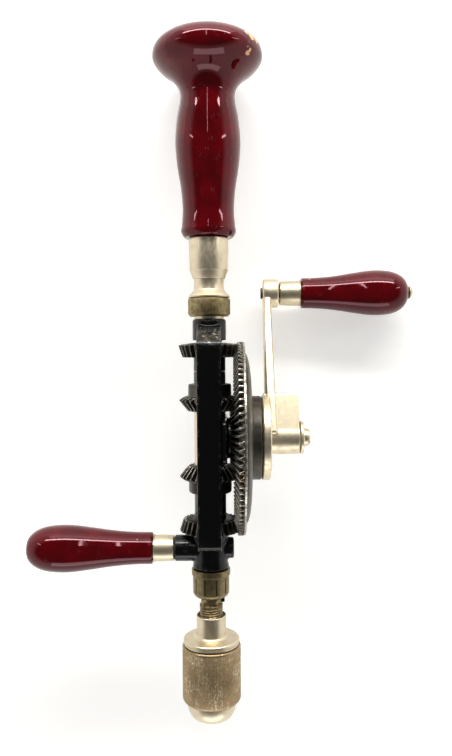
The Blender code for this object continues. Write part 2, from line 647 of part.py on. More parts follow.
def make_crank(pivot):
    """Crank with its disc, hub, web, flared arm and eye, and the two pins that lock it."""
    disc = turned("crank", [(0, DISC_BOTTOM), (DISC_RADIUS - CRANK_EDGE, DISC_BOTTOM),
                            (DISC_RADIUS, DISC_BOTTOM + CRANK_EDGE), (DISC_RADIUS, DISC_TOP - CRANK_EDGE),
                            (DISC_RADIUS - CRANK_EDGE, DISC_TOP), (0, DISC_TOP)],
                  nickel(), pivot, FINE_SIDES)
    hub = turned("crank_hub", [(0, DISC_BOTTOM + CRANK_EDGE), (CRANK_HUB_RADIUS, DISC_BOTTOM + CRANK_EDGE),
                               (CRANK_HUB_RADIUS, CRANK_END - CRANK_EDGE),
                               (CRANK_HUB_RADIUS - CRANK_EDGE, CRANK_END), (0, CRANK_END)],
                 None, pivot)
    web = prism("crank_web", rounded([(0, -WEB_WIDTH / 2), (WEB_REACH, -WEB_WIDTH / 2),
                                      (WEB_REACH, WEB_WIDTH / 2), (0, WEB_WIDTH / 2)], CRANK_EDGE),
                DISC_BOTTOM + 2 * CRANK_EDGE, CRANK_END - CRANK_EDGE, "z", None, pivot)
    arm = prism("crank_arm", [(0, ARM_INNER), (CRANK_RADIUS, ARM_INNER),
                              (CRANK_RADIUS, ARM_INNER + ARM_END_THICKNESS),
                              (DISC_RADIUS + ARM_ROOT_THICKNESS, ARM_TOP), (0, ARM_TOP + CRANK_EDGE)],
                -ARM_ROOT_WIDTH, ARM_ROOT_WIDTH, "y", None, pivot)
    plan = prism("crank_arm_plan", [(0, -ARM_ROOT_WIDTH / 2), (CRANK_RADIUS, -ARM_END_WIDTH / 2),
                                    (CRANK_RADIUS, ARM_END_WIDTH / 2), (0, ARM_ROOT_WIDTH / 2)],
                 0, CRANK_END, "z", None, pivot)
    combine(arm, [plan], "INTERSECT")
    eye = turned("crank_eye", [(0, EYE_BOTTOM), (EYE_RADIUS - CRANK_EDGE, EYE_BOTTOM),
                               (EYE_RADIUS, EYE_BOTTOM + CRANK_EDGE), (EYE_RADIUS, EYE_TOP - CRANK_EDGE),
                               (EYE_RADIUS - CRANK_EDGE, EYE_TOP), (0, EYE_TOP)],
                 None, pivot, location=(CRANK_RADIUS, 0, 0))
    fuse(disc, hub, web, arm, eye)
    stud_hole = rod("crank_stud_hole", STUD_BORE, 0, CRANK_END + OVERRUN, None, pivot, SIDES)
    pin_hole = rod("crank_pin_hole", CRANK_PIN_RADIUS + SEAT_GAP, 0, EYE_TOP + OVERRUN, None, pivot,
                   location=(CRANK_RADIUS, 0, 0))
    cut(disc, stud_hole, pin_hole)
    pin_bottom = WHEEL_BOSS_TOP - DRIVE_PIN_DEPTH
    holes = []
    for index, side in enumerate((-1, 1), 1):
        spot = (0, side * DRIVE_PIN_OFFSET, 0)
        rod(f"drive_pin_{index}", DRIVE_PIN_RADIUS, pin_bottom, DISC_TOP, tool_steel(), pivot,
            location=spot)
        holes.append(rod(f"drive_pin_hole_{index}", DRIVE_PIN_RADIUS + SEAT_GAP,
                         pin_bottom - SEAT_GAP, DISC_TOP + OVERRUN, None, pivot, location=spot))
    cut(disc, *holes)
    return holes


def make_axle(pivot):
    """Fixed axle of the wheel, and the washer and slotted screw that keep the crank on it."""
    shank_hole = SCREW_SHANK_RADIUS + SEAT_GAP
    hole_bottom = CRANK_END - SCREW_SHANK_LENGTH
    turned("wheel_stud", [(0, BRIDGE_RELIEF + SEAT_GAP), (STUD_RADIUS, BRIDGE_RELIEF + SEAT_GAP),
                          (STUD_RADIUS, CRANK_END), (shank_hole, CRANK_END),
                          (shank_hole, hole_bottom), (0, hole_bottom)],
           tool_steel(), pivot)
    tube("crank_washer", shank_hole, WASHER_RADIUS, WASHER_BOTTOM, WASHER_TOP, nickel(), pivot)
    head = WASHER_TOP + SEAT_GAP
    dome = [(SCREW_RADIUS, head)]
    for step in range(1, CORNER_STEPS):
        turn = math.pi / 2 * step / CORNER_STEPS
        dome.append((SCREW_RADIUS * math.cos(turn / 2), head + SCREW_HEAD_HEIGHT * math.sin(turn)))
    dome.append((0, head + SCREW_HEAD_HEIGHT))
    shank = [(0, hole_bottom + SEAT_GAP), (SCREW_SHANK_RADIUS, hole_bottom + SEAT_GAP),
             (SCREW_SHANK_RADIUS, head)]
    screw = turned("crank_screw", shank + dome, nickel(), pivot)
    slot_bottom = head + SCREW_HEAD_HEIGHT - SCREW_SLOT_DEPTH
    slot = box("crank_screw_slot", (-SCREW_SLOT_WIDTH / 2, -SCREW_RADIUS, slot_bottom),
               (SCREW_SLOT_WIDTH / 2, SCREW_RADIUS, head + SCREW_HEAD_HEIGHT + OVERRUN), None, pivot)
    cut(screw, slot)


def handle_outline(bottom, length, radius, shares, tenon, tenon_length, bore, bore_end):
    """Outline of a turned wooden handle with a tenon and a bore; a bore_end past the top is open."""
    outline = [(bore, bottom - tenon_length), (tenon, bottom - tenon_length), (tenon, bottom)]
    outline += [(radius * across, bottom + length * along) for along, across in shares]
    if bore_end > bottom + length:
        return outline + [(bore, bottom + length)]
    return [(0, bore_end), (bore, bore_end)] + outline


def make_crank_grip(pivot):
    """Turning grip with its ferrule, on the pin that is riveted through the crank's eye."""
    ferrule_top = FERRULE_BOTTOM + GRIP_FERRULE_LENGTH
    turned("grip_ferrule", [(FERRULE_BORE, FERRULE_BOTTOM), (FERRULE_RADIUS, FERRULE_BOTTOM),
                            (FERRULE_RADIUS + FERRULE_TAPER, ferrule_top), (FERRULE_BORE, ferrule_top)],
           nickel(), pivot)
    turned("crank_grip", handle_outline(GRIP_BOTTOM, GRIP_LENGTH, GRIP_RADIUS, GRIP_SHARES,
                                        FERRULE_BORE - SEAT_GAP, GRIP_FERRULE_LENGTH - FERRULE_WALL,
                                        GRIP_BORE, GRIP_TOP + OVERRUN),
           lacquer(), pivot, HANDLE_SIDES)
    head_top = EYE_BOTTOM - SEAT_GAP
    cap_bottom = GRIP_TOP + SEAT_GAP
    turned("crank_pin", [(0, head_top - CRANK_PIN_HEAD), (CRANK_PIN_HEAD_RADIUS, head_top - CRANK_PIN_HEAD),
                         (CRANK_PIN_HEAD_RADIUS, head_top), (CRANK_PIN_RADIUS, head_top),
                         (CRANK_PIN_RADIUS, cap_bottom), (RIVET_CAP_RADIUS, cap_bottom),
                         (RIVET_CAP_RADIUS, cap_bottom + RIVET_CAP_HEIGHT / 2),
                         (CRANK_PIN_RADIUS, cap_bottom + RIVET_CAP_HEIGHT),
                         (0, cap_bottom + RIVET_CAP_HEIGHT)],
           nickel(), pivot, SMALL_SIDES)


def make_side_handle(pivot):
    """Fixed side handle with its ferrule and the stud that carries both."""
    turned("side_ferrule", [(FERRULE_BORE, SIDE_FERRULE_BOTTOM), (FERRULE_RADIUS, SIDE_FERRULE_BOTTOM),
                            (FERRULE_RADIUS + FERRULE_TAPER, SIDE_FERRULE_BOTTOM + SIDE_FERRULE_LENGTH),
                            (FERRULE_BORE, SIDE_FERRULE_BOTTOM + SIDE_FERRULE_LENGTH)],
           nickel(), pivot)
    stud_end = BOSS_BORE_RADIUS + SEAT_GAP + SIDE_STUD_LENGTH
    end = [(0, SIDE_HANDLE_BOTTOM + SIDE_HANDLE_LENGTH)]
    outline = handle_outline(SIDE_HANDLE_BOTTOM, SIDE_HANDLE_LENGTH, SIDE_HANDLE_RADIUS, GRIP_SHARES,
                             FERRULE_BORE - SEAT_GAP, SIDE_FERRULE_LENGTH - FERRULE_WALL,
                             SIDE_STUD_RADIUS + SEAT_GAP, stud_end + SEAT_GAP)
    turned("side_handle", outline + end, lacquer(), pivot, HANDLE_SIDES)
    rod("side_stud", SIDE_STUD_RADIUS, BOSS_BORE_RADIUS + SEAT_GAP, stud_end, tool_steel(), pivot)


def make_main_handle(root):
    """Mushroom handle, its stud and the plated socket that it stands on."""
    bolt_top = HANDLE_BOTTOM - TENON_LENGTH + BOLT_LENGTH
    outline = handle_outline(HANDLE_BOTTOM, MAIN_HANDLE_LENGTH, MAIN_HANDLE_RADIUS, MAIN_HANDLE_SHARES,
                             TENON_RADIUS, TENON_LENGTH, TENON_BORE_RADIUS, bolt_top + SEAT_GAP)
    turned("main_handle", outline, lacquer(), root, HANDLE_SIDES)
    tenon_bottom = HANDLE_BOTTOM - TENON_LENGTH
    stem = SLIDER_BORE_RADIUS - SEAT_GAP
    turned("handle_bolt", [(0, SOCKET_TAPER_BOTTOM), (stem, SOCKET_TAPER_BOTTOM),
                           (stem, tenon_bottom - SEAT_GAP), (BOLT_RADIUS, tenon_bottom - SEAT_GAP),
                           (BOLT_RADIUS, bolt_top), (0, bolt_top)],
           tool_steel(), root, SMALL_SIDES)
    tube_bore = TENON_RADIUS + SEAT_GAP
    socket = turned("handle_socket", [
        (SLIDER_BORE_RADIUS, PLUG_BOTTOM), (PLUG_RADIUS, PLUG_BOTTOM),
        (PLUG_RADIUS, FRAME_TOP + SEAT_GAP), (SPIGOT_RADIUS, FRAME_TOP + SEAT_GAP),
        (SPIGOT_RADIUS, SOCKET_CONE_BOTTOM), (SOCKET_CONE_RADIUS, SOCKET_CONE_BOTTOM),
        (SOCKET_NECK_RADIUS, SOCKET_NECK_BOTTOM), (SOCKET_NECK_RADIUS, SOCKET_TAPER_BOTTOM),
        (SOCKET_FOOT_RADIUS, SOCKET_TUBE_BOTTOM), (SOCKET_RADIUS, SOCKET_TOP), (tube_bore, SOCKET_TOP),
        (tube_bore, tenon_bottom - SEAT_GAP), (SLIDER_BORE_RADIUS, tenon_bottom - SEAT_GAP)],
        nickel(), root, SIDES)
    peg_way = box("slider_keyway", (-SLIDER_PEG_REACH - SEAT_GAP, -SLIDER_PEG_RADIUS - SEAT_GAP,
                                    SLIDER_BOTTOM - SEAT_GAP),
                  (0, SLIDER_PEG_RADIUS + SEAT_GAP, SLIDER_TOP + SHIFT_TRAVEL + SEAT_GAP), None, root)
    pin_z = FRAME_TOP - PLUG_HEIGHT / 2
    pin_hole = rod("socket_pin_hole", SOCKET_PIN_RADIUS + SEAT_GAP, SLIDER_BORE_RADIUS - OVERRUN,
                   TOP_BOSS_RADIUS + OVERRUN, None, root, location=(0, 0, pin_z),
                   rotation=(-math.pi / 2, 0, 0))
    rod("socket_pin", SOCKET_PIN_RADIUS, SLIDER_BORE_RADIUS + SEAT_GAP, TOP_BOSS_RADIUS, tool_steel(),
        root, location=(0, 0, pin_z), rotation=(-math.pi / 2, 0, 0))
    cut(socket, peg_way, pin_hole)
    return pin_hole


def make_shifter(root):
    """Speed collar, the slider that it lifts, and the rod and key inside the spindle."""
    bore = COLLAR_RADIUS - COLLAR_WALL
    turned("speed_collar", [(bore, COLLAR_BOTTOM), (COLLAR_RADIUS - COLLAR_CHAMFER, COLLAR_BOTTOM),
                            (COLLAR_RADIUS, COLLAR_BOTTOM + COLLAR_CHAMFER),
                            (COLLAR_RADIUS, COLLAR_TOP - SEAT_GAP),
                            (COLLAR_RADIUS - SEAT_GAP, COLLAR_TOP), (bore, COLLAR_TOP)],
           brass(), root, FINE_SIDES)
    slider = rod("shift_slider", SLIDER_RADIUS, SLIDER_BOTTOM, SLIDER_TOP, bronze(), root, SIDES)
    peg = rod("slider_peg", SLIDER_PEG_RADIUS, ROD_RADIUS, SLIDER_PEG_REACH, None, root,
              location=(0, 0, (SLIDER_BOTTOM + SLIDER_TOP) / 2), rotation=(0, -math.pi / 2, 0))
    hole = rod("slider_hole", ROD_RADIUS + SEAT_GAP, SLIDER_BOTTOM - OVERRUN, SLIDER_TOP + OVERRUN,
               None, root)
    cut(fuse(slider, peg), hole)
    head = SLIDER_TOP + SEAT_GAP
    turned("shift_rod", [(0, KEY_TOP + SEAT_GAP), (ROD_RADIUS, KEY_TOP + SEAT_GAP), (ROD_RADIUS, head),
                         (ROD_HEAD_RADIUS, head), (ROD_HEAD_RADIUS, head + ROD_HEAD_HEIGHT),
                         (0, head + ROD_HEAD_HEIGHT)],
           tool_steel(), root, SMALL_SIDES)
    box("shift_key", (-KEY_REACH, -KEY_WIDTH / 2, KEY_BOTTOM), (KEY_REACH, KEY_WIDTH / 2, KEY_TOP),
        tool_steel(), root)


def make_spindle(root):
    """Hollow spindle with its cross pin, and the spacer sleeve between the inner pinions."""
    bore_bottom = KEY_BOTTOM - KEY_HEIGHT
    spindle = turned("spindle", [
        (0, THREAD_BOTTOM), (THREAD_RADIUS, THREAD_BOTTOM), (THREAD_RADIUS, THREAD_TOP),
        (SPINDLE_RADIUS, THREAD_TOP + THREAD_RADIUS - SPINDLE_RADIUS), (SPINDLE_RADIUS, SPINDLE_TOP),
        (SPINDLE_BORE_RADIUS, SPINDLE_TOP), (SPINDLE_BORE_RADIUS, bore_bottom), (0, bore_bottom)],
        tool_steel(), root, SIDES)
    slot = box("key_slot", (-SPINDLE_RADIUS - OVERRUN, -KEY_WIDTH / 2 - RUNNING_GAP, KEY_BOTTOM - SEAT_GAP),
               (SPINDLE_RADIUS + OVERRUN, KEY_WIDTH / 2 + RUNNING_GAP, KEY_TOP + SHIFT_TRAVEL + SEAT_GAP),
               None, root)
    pin_z = RING_BOTTOM - SPINDLE_PIN_DROP
    hole = rod("spindle_pin_hole", SPINDLE_PIN_RADIUS + SEAT_GAP, -SPINDLE_RADIUS - OVERRUN,
               SPINDLE_RADIUS + OVERRUN, None, root, location=(0, 0, pin_z), rotation=(0, math.pi / 2, 0))
    rod("spindle_pin", SPINDLE_PIN_RADIUS, -SPINDLE_PIN_LEFT, SPINDLE_PIN_RIGHT, tool_steel(), root,
        location=(0, 0, pin_z), rotation=(0, math.pi / 2, 0))
    cut(spindle, slot, hole)
    half = INNER_FRONT - SEAT_GAP
    tube("spacer_sleeve", clear_bore(SPINDLE_RADIUS, SEAT_GAP, SIDES), SPACER_RADIUS, WHEEL_Z - half,
         WHEEL_Z + half, nickel(), root)


def make_bearings(root):
    """Bushes of the spindle, and the ball thrust bearing over its upper end."""
    bore = clear_bore(SPINDLE_RADIUS, RUNNING_GAP, SIDES)
    tube("bottom_bush", bore, PLUG_RADIUS, FRAME_BOTTOM, WINDOW_BOTTOM, bronze(), root)
    tube("top_bush", bore, PLUG_RADIUS, WINDOW_TOP, WINDOW_TOP + TOP_BUSH_HEIGHT, bronze(), root)
    middle = SPINDLE_TOP + SEAT_GAP + BALL_RADIUS
    cage = tube("ball_cage", BALL_CIRCLE_RADIUS - CAGE_WIDTH / 2, BALL_CIRCLE_RADIUS + CAGE_WIDTH / 2,
                middle - CAGE_THICKNESS / 2, middle + CAGE_THICKNESS / 2, tool_steel(), root)
    for index in range(BALL_COUNT):
        angle = math.tau * index / BALL_COUNT
        mesh = bmesh.new()
        bmesh.ops.create_icosphere(mesh, subdivisions=1, radius=BALL_RADIUS)
        spot = (BALL_CIRCLE_RADIUS * math.cos(angle), BALL_CIRCLE_RADIUS * math.sin(angle), middle)
        fuse(cage, to_object(f"thrust_ball_{index + 1}", mesh, None, root, location=spot))
    race_bottom = middle + BALL_RADIUS + SEAT_GAP
    tube("thrust_race", BALL_CIRCLE_RADIUS - BALL_RADIUS, PLUG_RADIUS, race_bottom,
         PLUG_BOTTOM - SEAT_GAP, tool_steel(), root)


def make_ratchet_ring(root):
    """Slotted ring that sets the ratchet, with the two pawls and the detent ball inside it."""
    top = RING_BOTTOM + RING_HEIGHT
    flange = top - RING_FLANGE_HEIGHT
    floor = RING_BOTTOM + RING_WALL
    bore = clear_bore(SPINDLE_RADIUS, SEAT_GAP, FINE_SIDES)
    cavity = RING_RADIUS - RING_WALL
    ring = turned("ratchet_ring", [
        (bore, RING_BOTTOM), (RING_FOOT_RADIUS, RING_BOTTOM), (RING_RADIUS - SEAT_GAP, RING_BOTTOM
                                                               + RING_ROUNDING),
        (RING_RADIUS, flange), (RING_FLANGE_RADIUS, flange + SEAT_GAP),
        (RING_FLANGE_RADIUS, top - SEAT_GAP), (RING_FLANGE_RADIUS - SEAT_GAP, top), (cavity, top),
        (cavity, floor), (bore, floor)],
        brass(), root, FINE_SIDES)
    for index in range(RING_SLOTS):
        angle = math.tau * index / RING_SLOTS
        slot = box(f"ring_slot_{index + 1}", (RING_RADIUS - RING_SLOT_DEPTH, -RING_SLOT_WIDTH / 2,
                                              RING_BOTTOM + RING_ROUNDING),
                   (RING_RADIUS + OVERRUN, RING_SLOT_WIDTH / 2, flange - SEAT_GAP), None, root,
                   rotation=(0, 0, angle))
        cut(ring, slot)
    inner = bore + SEAT_GAP
    outer = cavity - SEAT_GAP
    low = floor + SEAT_GAP
    for index in (1, 2):
        turned(f"pawl_{index}", [(inner, low), (outer, low), (outer, low + PAWL_HEIGHT),
                                 (inner, low + PAWL_HEIGHT)],
               tool_steel(), root, CORNER_STEPS, PAWL_SPREAD, rotation=(0, 0, math.pi * index))
    mesh = bmesh.new()
    bmesh.ops.create_icosphere(mesh, subdivisions=2, radius=DETENT_RADIUS)
    to_object("ratchet_detent", mesh, tool_steel(), root,
              location=(0, (inner + outer) / 2, low + PAWL_HEIGHT + SEAT_GAP + DETENT_RADIUS))


def jaw_reach(height):
    """Farthest distance from the drill's axis that a jaw has at a height, at rest or moving."""
    axis = JAW_TOP_OFFSET - (JAW_TOP - height) * math.tan(JAW_TILT)
    return axis + JAW_RADIUS / math.cos(JAW_TILT)


def make_chuck(root):
    """Chuck body with three slanted jaws, the split nut that drives them and the knurled sleeve."""
    nose_bottom = -CHUCK_SEAT_DEPTH
    nose_top = nose_bottom + NOSE_LENGTH
    nut_bottom = NUT_TOP - NUT_HEIGHT
    fillet = []
    for step in range(CORNER_STEPS + 1):
        turn = math.pi / 2 * step / CORNER_STEPS
        fillet.append((CHUCK_NECK_RADIUS + CHUCK_FILLET * (1 - math.sin(turn)),
                       FLANGE_TOP + CHUCK_FILLET * (1 - math.cos(turn))))
    nose = []
    for step in range(CORNER_STEPS + 1):
        turn = math.pi / 2 * step / CORNER_STEPS
        nose.append((NOSE_END_RADIUS + (NOSE_RADIUS - NOSE_END_RADIUS) * math.sin(turn),
                     nose_top - NOSE_LENGTH * math.cos(turn)))
    thread = THREAD_RADIUS + SEAT_GAP
    body = turned("chuck_body", [(0, 0), (BIT_BORE_RADIUS, 0), (BIT_BORE_RADIUS, nose_bottom)] + nose + [
        (CORE_RADIUS, nose_top + SEAT_GAP), (CORE_RADIUS, nut_bottom - SEAT_GAP),
        (NUT_FLOOR_RADIUS, nut_bottom - SEAT_GAP), (NUT_FLOOR_RADIUS, NUT_TOP + SEAT_GAP),
        (CORE_RADIUS, NUT_TOP + SEAT_GAP), (CORE_RADIUS, FLANGE_BOTTOM), (FLANGE_RADIUS, FLANGE_BOTTOM),
        (FLANGE_RADIUS, FLANGE_TOP)] + fillet + [
        (CHUCK_NECK_RADIUS, CHUCK_TOP), (thread, CHUCK_TOP), (thread, THREAD_BOTTOM - SEAT_GAP),
        (0, THREAD_BOTTOM - SEAT_GAP)], nickel(), root, FINE_SIDES)
    jaw_end = -JAW_LENGTH
    wedge_side = JAW_TOP_OFFSET * math.tan(math.pi / JAW_COUNT)
    for index in range(JAW_COUNT):
        turn = math.tau * index / JAW_COUNT + math.pi / 2
        guide = empty(f"jaw_guide_{index + 1}", root, rotation=(0, 0, turn))
        pivot = empty(f"jaw_slide_{index + 1}", guide, (JAW_TOP_OFFSET, 0, JAW_TOP), (0, JAW_TILT, 0))
        hole = rod(f"jaw_hole_{index + 1}", JAW_RADIUS + JAW_HOLE_GAP,
                   jaw_end - CHUCK_SEAT_DEPTH, SEAT_GAP, None, pivot)
        cut(body, hole)
        jaw = rod(f"jaw_{index + 1}", JAW_RADIUS, jaw_end, 0, tool_steel(), pivot)
        apex = JAW_OPENING_RADIUS
        wedge = prism(f"jaw_wedge_{index + 1}", [
            (apex, 0), (apex + JAW_TOP_OFFSET, wedge_side), (-JAW_TOP_OFFSET, wedge_side),
            (-JAW_TOP_OFFSET, -wedge_side), (apex + JAW_TOP_OFFSET, -wedge_side)],
            -2 * JAW_LENGTH, JAW_LENGTH, "z", None, guide)
        cut(jaw, wedge)
    tube_outline = [(CHUCK_SLEEVE_BORE, nose_top + 2 * SEAT_GAP),
                    (CHUCK_SLEEVE_RADIUS - CHUCK_SLEEVE_ROUNDING, nose_top + 2 * SEAT_GAP),
                    (CHUCK_SLEEVE_RADIUS, nose_top + 2 * SEAT_GAP + CHUCK_SLEEVE_ROUNDING),
                    (CHUCK_SLEEVE_RADIUS, FLANGE_BOTTOM - 2 * SEAT_GAP),
                    (CHUCK_SLEEVE_RADIUS - SEAT_GAP, FLANGE_BOTTOM - SEAT_GAP),
                    (CHUCK_SLEEVE_BORE, FLANGE_BOTTOM - SEAT_GAP)]
    turned("chuck_sleeve", tube_outline, brass(), root, FINE_SIDES)
    sweep = math.pi - 2 * SEAT_GAP / NUT_FLOOR_RADIUS
    for name, turn in (("chuck_nut_front", math.pi), ("chuck_nut_back", 0)):
        turned(name, [(jaw_reach(nut_bottom) + SEAT_GAP, nut_bottom), (NUT_RADIUS, nut_bottom),
                      (NUT_RADIUS, NUT_TOP), (jaw_reach(NUT_TOP) + SEAT_GAP, NUT_TOP)],
               tool_steel(), root, SIDES // 2, sweep, rotation=(0, 0, turn + SEAT_GAP / NUT_FLOOR_RADIUS))


def make_frame(root, across, pin_hole):
    """Cast frame: two bars round a window, shoulders and bosses, the bridge and the cross arm."""
    foot = WINDOW_BOTTOM - FOOT_DROP
    shoulder = WINDOW_TOP + SHOULDER_RISE
    corner = TOP_BOSS_RADIUS - ARM_CHAMFER
    bars = rounded([(-BAR_OUTER, foot), (BAR_OUTER, foot), (BAR_OUTER, WINDOW_TOP), (corner, shoulder),
                    (-corner, shoulder), (-BAR_OUTER, WINDOW_TOP)], FOOT_ROUNDING)
    frame = prism("frame_casting", bars, -BAR_WIDTH / 2, BAR_WIDTH / 2, "x", black_enamel(), root)
    top = turned("top_boss", [(0, WINDOW_TOP + OVERRUN), (TOP_BOSS_RADIUS, WINDOW_TOP + OVERRUN),
                              (TOP_BOSS_RADIUS, FRAME_TOP - ARM_CHAMFER),
                              (TOP_BOSS_RADIUS - ARM_CHAMFER, FRAME_TOP), (0, FRAME_TOP)], None, root)
    lower = turned("lower_boss", [(0, FRAME_BOTTOM), (LOWER_BOSS_RADIUS, FRAME_BOTTOM),
                                  (LOWER_BOSS_NECK_RADIUS, FRAME_BOTTOM + LOWER_BOSS_TAPER),
                                  (LOWER_BOSS_NECK_RADIUS, WINDOW_BOTTOM - OVERRUN),
                                  (0, WINDOW_BOTTOM - OVERRUN)], None, root)
    arm = turned("cross_arm", [(0, -ARM_LENGTH), (ARM_RADIUS - ARM_CHAMFER, -ARM_LENGTH),
                               (ARM_RADIUS, ARM_CHAMFER - ARM_LENGTH), (ARM_RADIUS, 0),
                               (ARM_BOSS_RADIUS, LOWER_BOSS_RADIUS), (ARM_BOSS_RADIUS, ARM_BOSS_LENGTH
                                                                      - ARM_CHAMFER),
                               (ARM_BOSS_RADIUS - ARM_CHAMFER, ARM_BOSS_LENGTH), (0, ARM_BOSS_LENGTH)],
                 None, across, location=(WHEEL_Z - ARM_Z, 0, 0))
    half = BAR_OUTER - SEAT_GAP
    low = WHEEL_Z - BRIDGE_HALF_HEIGHT
    high = WHEEL_Z + BRIDGE_HALF_HEIGHT
    bridge = prism("bridge", rounded([(-half, low), (half, low), (half, high), (-half, high)],
                                     WINDOW_CORNER),
                   BRIDGE_INNER, BRIDGE_OUTER, "x", None, root)
    boss = rod("bridge_boss", BRIDGE_BOSS_RADIUS, BRIDGE_OUTER - OVERRUN, BRIDGE_BOSS_END, None, across,
               SIDES)
    relief = rod("bridge_relief", BRIDGE_RELIEF, low - OVERRUN, high + OVERRUN, None, root, SIDES)
    inside = BAR_OUTER - BAR_THICKNESS
    window = prism("window", rounded([(-inside, WINDOW_BOTTOM), (inside, WINDOW_BOTTOM),
                                      (inside, WINDOW_TOP), (-inside, WINDOW_TOP)], WINDOW_CORNER),
                   -BAR_WIDTH, BAR_WIDTH, "x", None, root)
    bore = rod("spindle_bore", BOSS_BORE_RADIUS, FRAME_BOTTOM - OVERRUN, FRAME_TOP + OVERRUN, None, root,
               SIDES)
    stud_hole = rod("stud_hole", STUD_RADIUS + SEAT_GAP, 0, BRIDGE_BOSS_END + OVERRUN, None, across, SIDES)
    side_hole = rod("side_stud_hole", SIDE_STUD_RADIUS + SEAT_GAP, -ARM_LENGTH - OVERRUN, 0, None, across,
                    location=(WHEEL_Z - ARM_Z, 0, 0))
    fuse(frame, top, lower, arm)
    cut(frame, window)
    cut(fuse(bridge, boss), relief)
    fuse(frame, bridge)
    cut(frame, fuse(bore, stud_hole, side_hole), pin_hole)


def main():
    for old in list(bpy.data.objects):
        bpy.data.objects.remove(old, do_unlink=True)
    root = empty("drill", rotation=(-math.pi / 2, 0, 0))
    across = empty("wheel_axis", root, (0, 0, WHEEL_Z), (0, math.pi / 2, 0))
    crank_pivot = empty("crank_lean", across, rotation=(0, 0, math.pi - CRANK_LEAN))
    grip_pivot = empty("grip_axis", crank_pivot, (CRANK_RADIUS, 0, 0))
    side = empty("side_axis", root, (0, 0, ARM_Z), (0, -math.pi / 2, 0))
    make_pinions(root)
    wheel = make_wheel(across)
    cut(wheel, *make_crank(crank_pivot))
    make_axle(across)
    make_crank_grip(grip_pivot)
    make_side_handle(side)
    pin_hole = make_main_handle(root)
    make_frame(root, across, pin_hole)
    make_shifter(root)
    make_spindle(root)
    make_bearings(root)
    make_ratchet_ring(root)
    make_chuck(root)


if __name__ == "__main__":
    main()
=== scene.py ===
"""Looks of the hand drill: red lacquered handles, black cast frame, worn nickel, iron and brass.

The file is laid out as an add-on and run as a script. Every piece is modelled about the axis that
it turns on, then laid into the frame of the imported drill, whose spindle runs along +Y.
"""

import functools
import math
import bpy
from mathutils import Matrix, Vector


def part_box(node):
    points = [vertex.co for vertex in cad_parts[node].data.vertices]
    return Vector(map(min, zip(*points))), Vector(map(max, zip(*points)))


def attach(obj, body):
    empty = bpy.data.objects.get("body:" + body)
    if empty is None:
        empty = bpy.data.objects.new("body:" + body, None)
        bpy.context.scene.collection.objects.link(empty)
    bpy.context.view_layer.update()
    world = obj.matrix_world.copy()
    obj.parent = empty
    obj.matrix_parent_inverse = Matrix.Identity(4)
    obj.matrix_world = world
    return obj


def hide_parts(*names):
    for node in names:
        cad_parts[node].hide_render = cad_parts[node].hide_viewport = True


bl_info = {
    "name": "Hand drill",
    "version": (1, 0, 0),
    "blender": (4, 5, 0),
    "location": "View3D > Sidebar > Hand drill",
    "description": "Builds the finished pieces of a two-speed hand drill round its packed solids",
    "category": "Add Mesh",
}

import bmesh
import bpy
from bpy.props import FloatProperty, FloatVectorProperty, IntProperty, PointerProperty
from mathutils import Matrix, Vector

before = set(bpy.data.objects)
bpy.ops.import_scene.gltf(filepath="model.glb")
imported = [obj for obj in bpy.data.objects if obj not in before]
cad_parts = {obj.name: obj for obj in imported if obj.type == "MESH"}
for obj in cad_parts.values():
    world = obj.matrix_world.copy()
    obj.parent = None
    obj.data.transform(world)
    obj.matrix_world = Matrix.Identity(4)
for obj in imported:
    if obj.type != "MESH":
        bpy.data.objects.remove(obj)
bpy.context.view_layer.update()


def along(node):
    """Lowest and highest place of a node along the spindle."""
    low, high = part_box(node)
    return low[1], high[1]


def across(node):
    """Lowest and highest place of a node along the crank's axle."""
    low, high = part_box(node)
    return low[0], high[0]


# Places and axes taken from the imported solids
SIDE_AXIS = sum(along("side_stud")) / 2
CRANK_LEAN = math.radians(20)
CRANK_RADIUS = 0.0825
PIN_LOW, PIN_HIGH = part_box("crank_pin")
WHEEL_AXIS = (PIN_LOW[1] + PIN_HIGH[1]) / 2 - CRANK_RADIUS * math.cos(CRANK_LEAN)
SPINDLE = Matrix.Rotation(-math.pi / 2, 4, "X")
AXLE = SPINDLE @ Matrix.Translation((0, 0, WHEEL_AXIS)) @ Matrix.Rotation(math.pi / 2, 4, "Y")
CRANK = AXLE @ Matrix.Rotation(math.pi - CRANK_LEAN, 4, "Z")
GRIP = CRANK @ Matrix.Translation((CRANK_RADIUS, 0, 0))
SIDE = SPINDLE @ Matrix.Translation((0, 0, SIDE_AXIS)) @ Matrix.Rotation(-math.pi / 2, 4, "Y")

# Gears, as the solids have them
MODULE = 0.00109
OUTER_TEETH = 90
INNER_TEETH = 38
PINION_TEETH = 28
PRESSURE_ANGLE = math.radians(20)
TOOTH_THINNING = 0.00014

# Facets and edges
ROUND_STEPS = 128
SMOOTH_ANGLE = math.radians(32)
MERGE = 0.000002
# How far a cutting tool goes past the face that it cuts
PAST = 0.001


def linear(hex_colour):
    """Linear colour of an sRGB hex value."""
    channels = [int(hex_colour[i:i + 2], 16) / 255 for i in (0, 2, 4)]
    return [c / 12.92 if c <= 0.04045 else ((c + 0.055) / 1.055) ** 2.4 for c in channels]


def colour(name, description, hex_colour):
    return FloatVectorProperty(name=name, description=description, subtype="COLOR", size=3,
                               min=0, max=1, default=linear(hex_colour))


def length(name, description, default):
    return FloatProperty(name=name, description=description, unit="LENGTH", default=default,
                         min=0, precision=5)


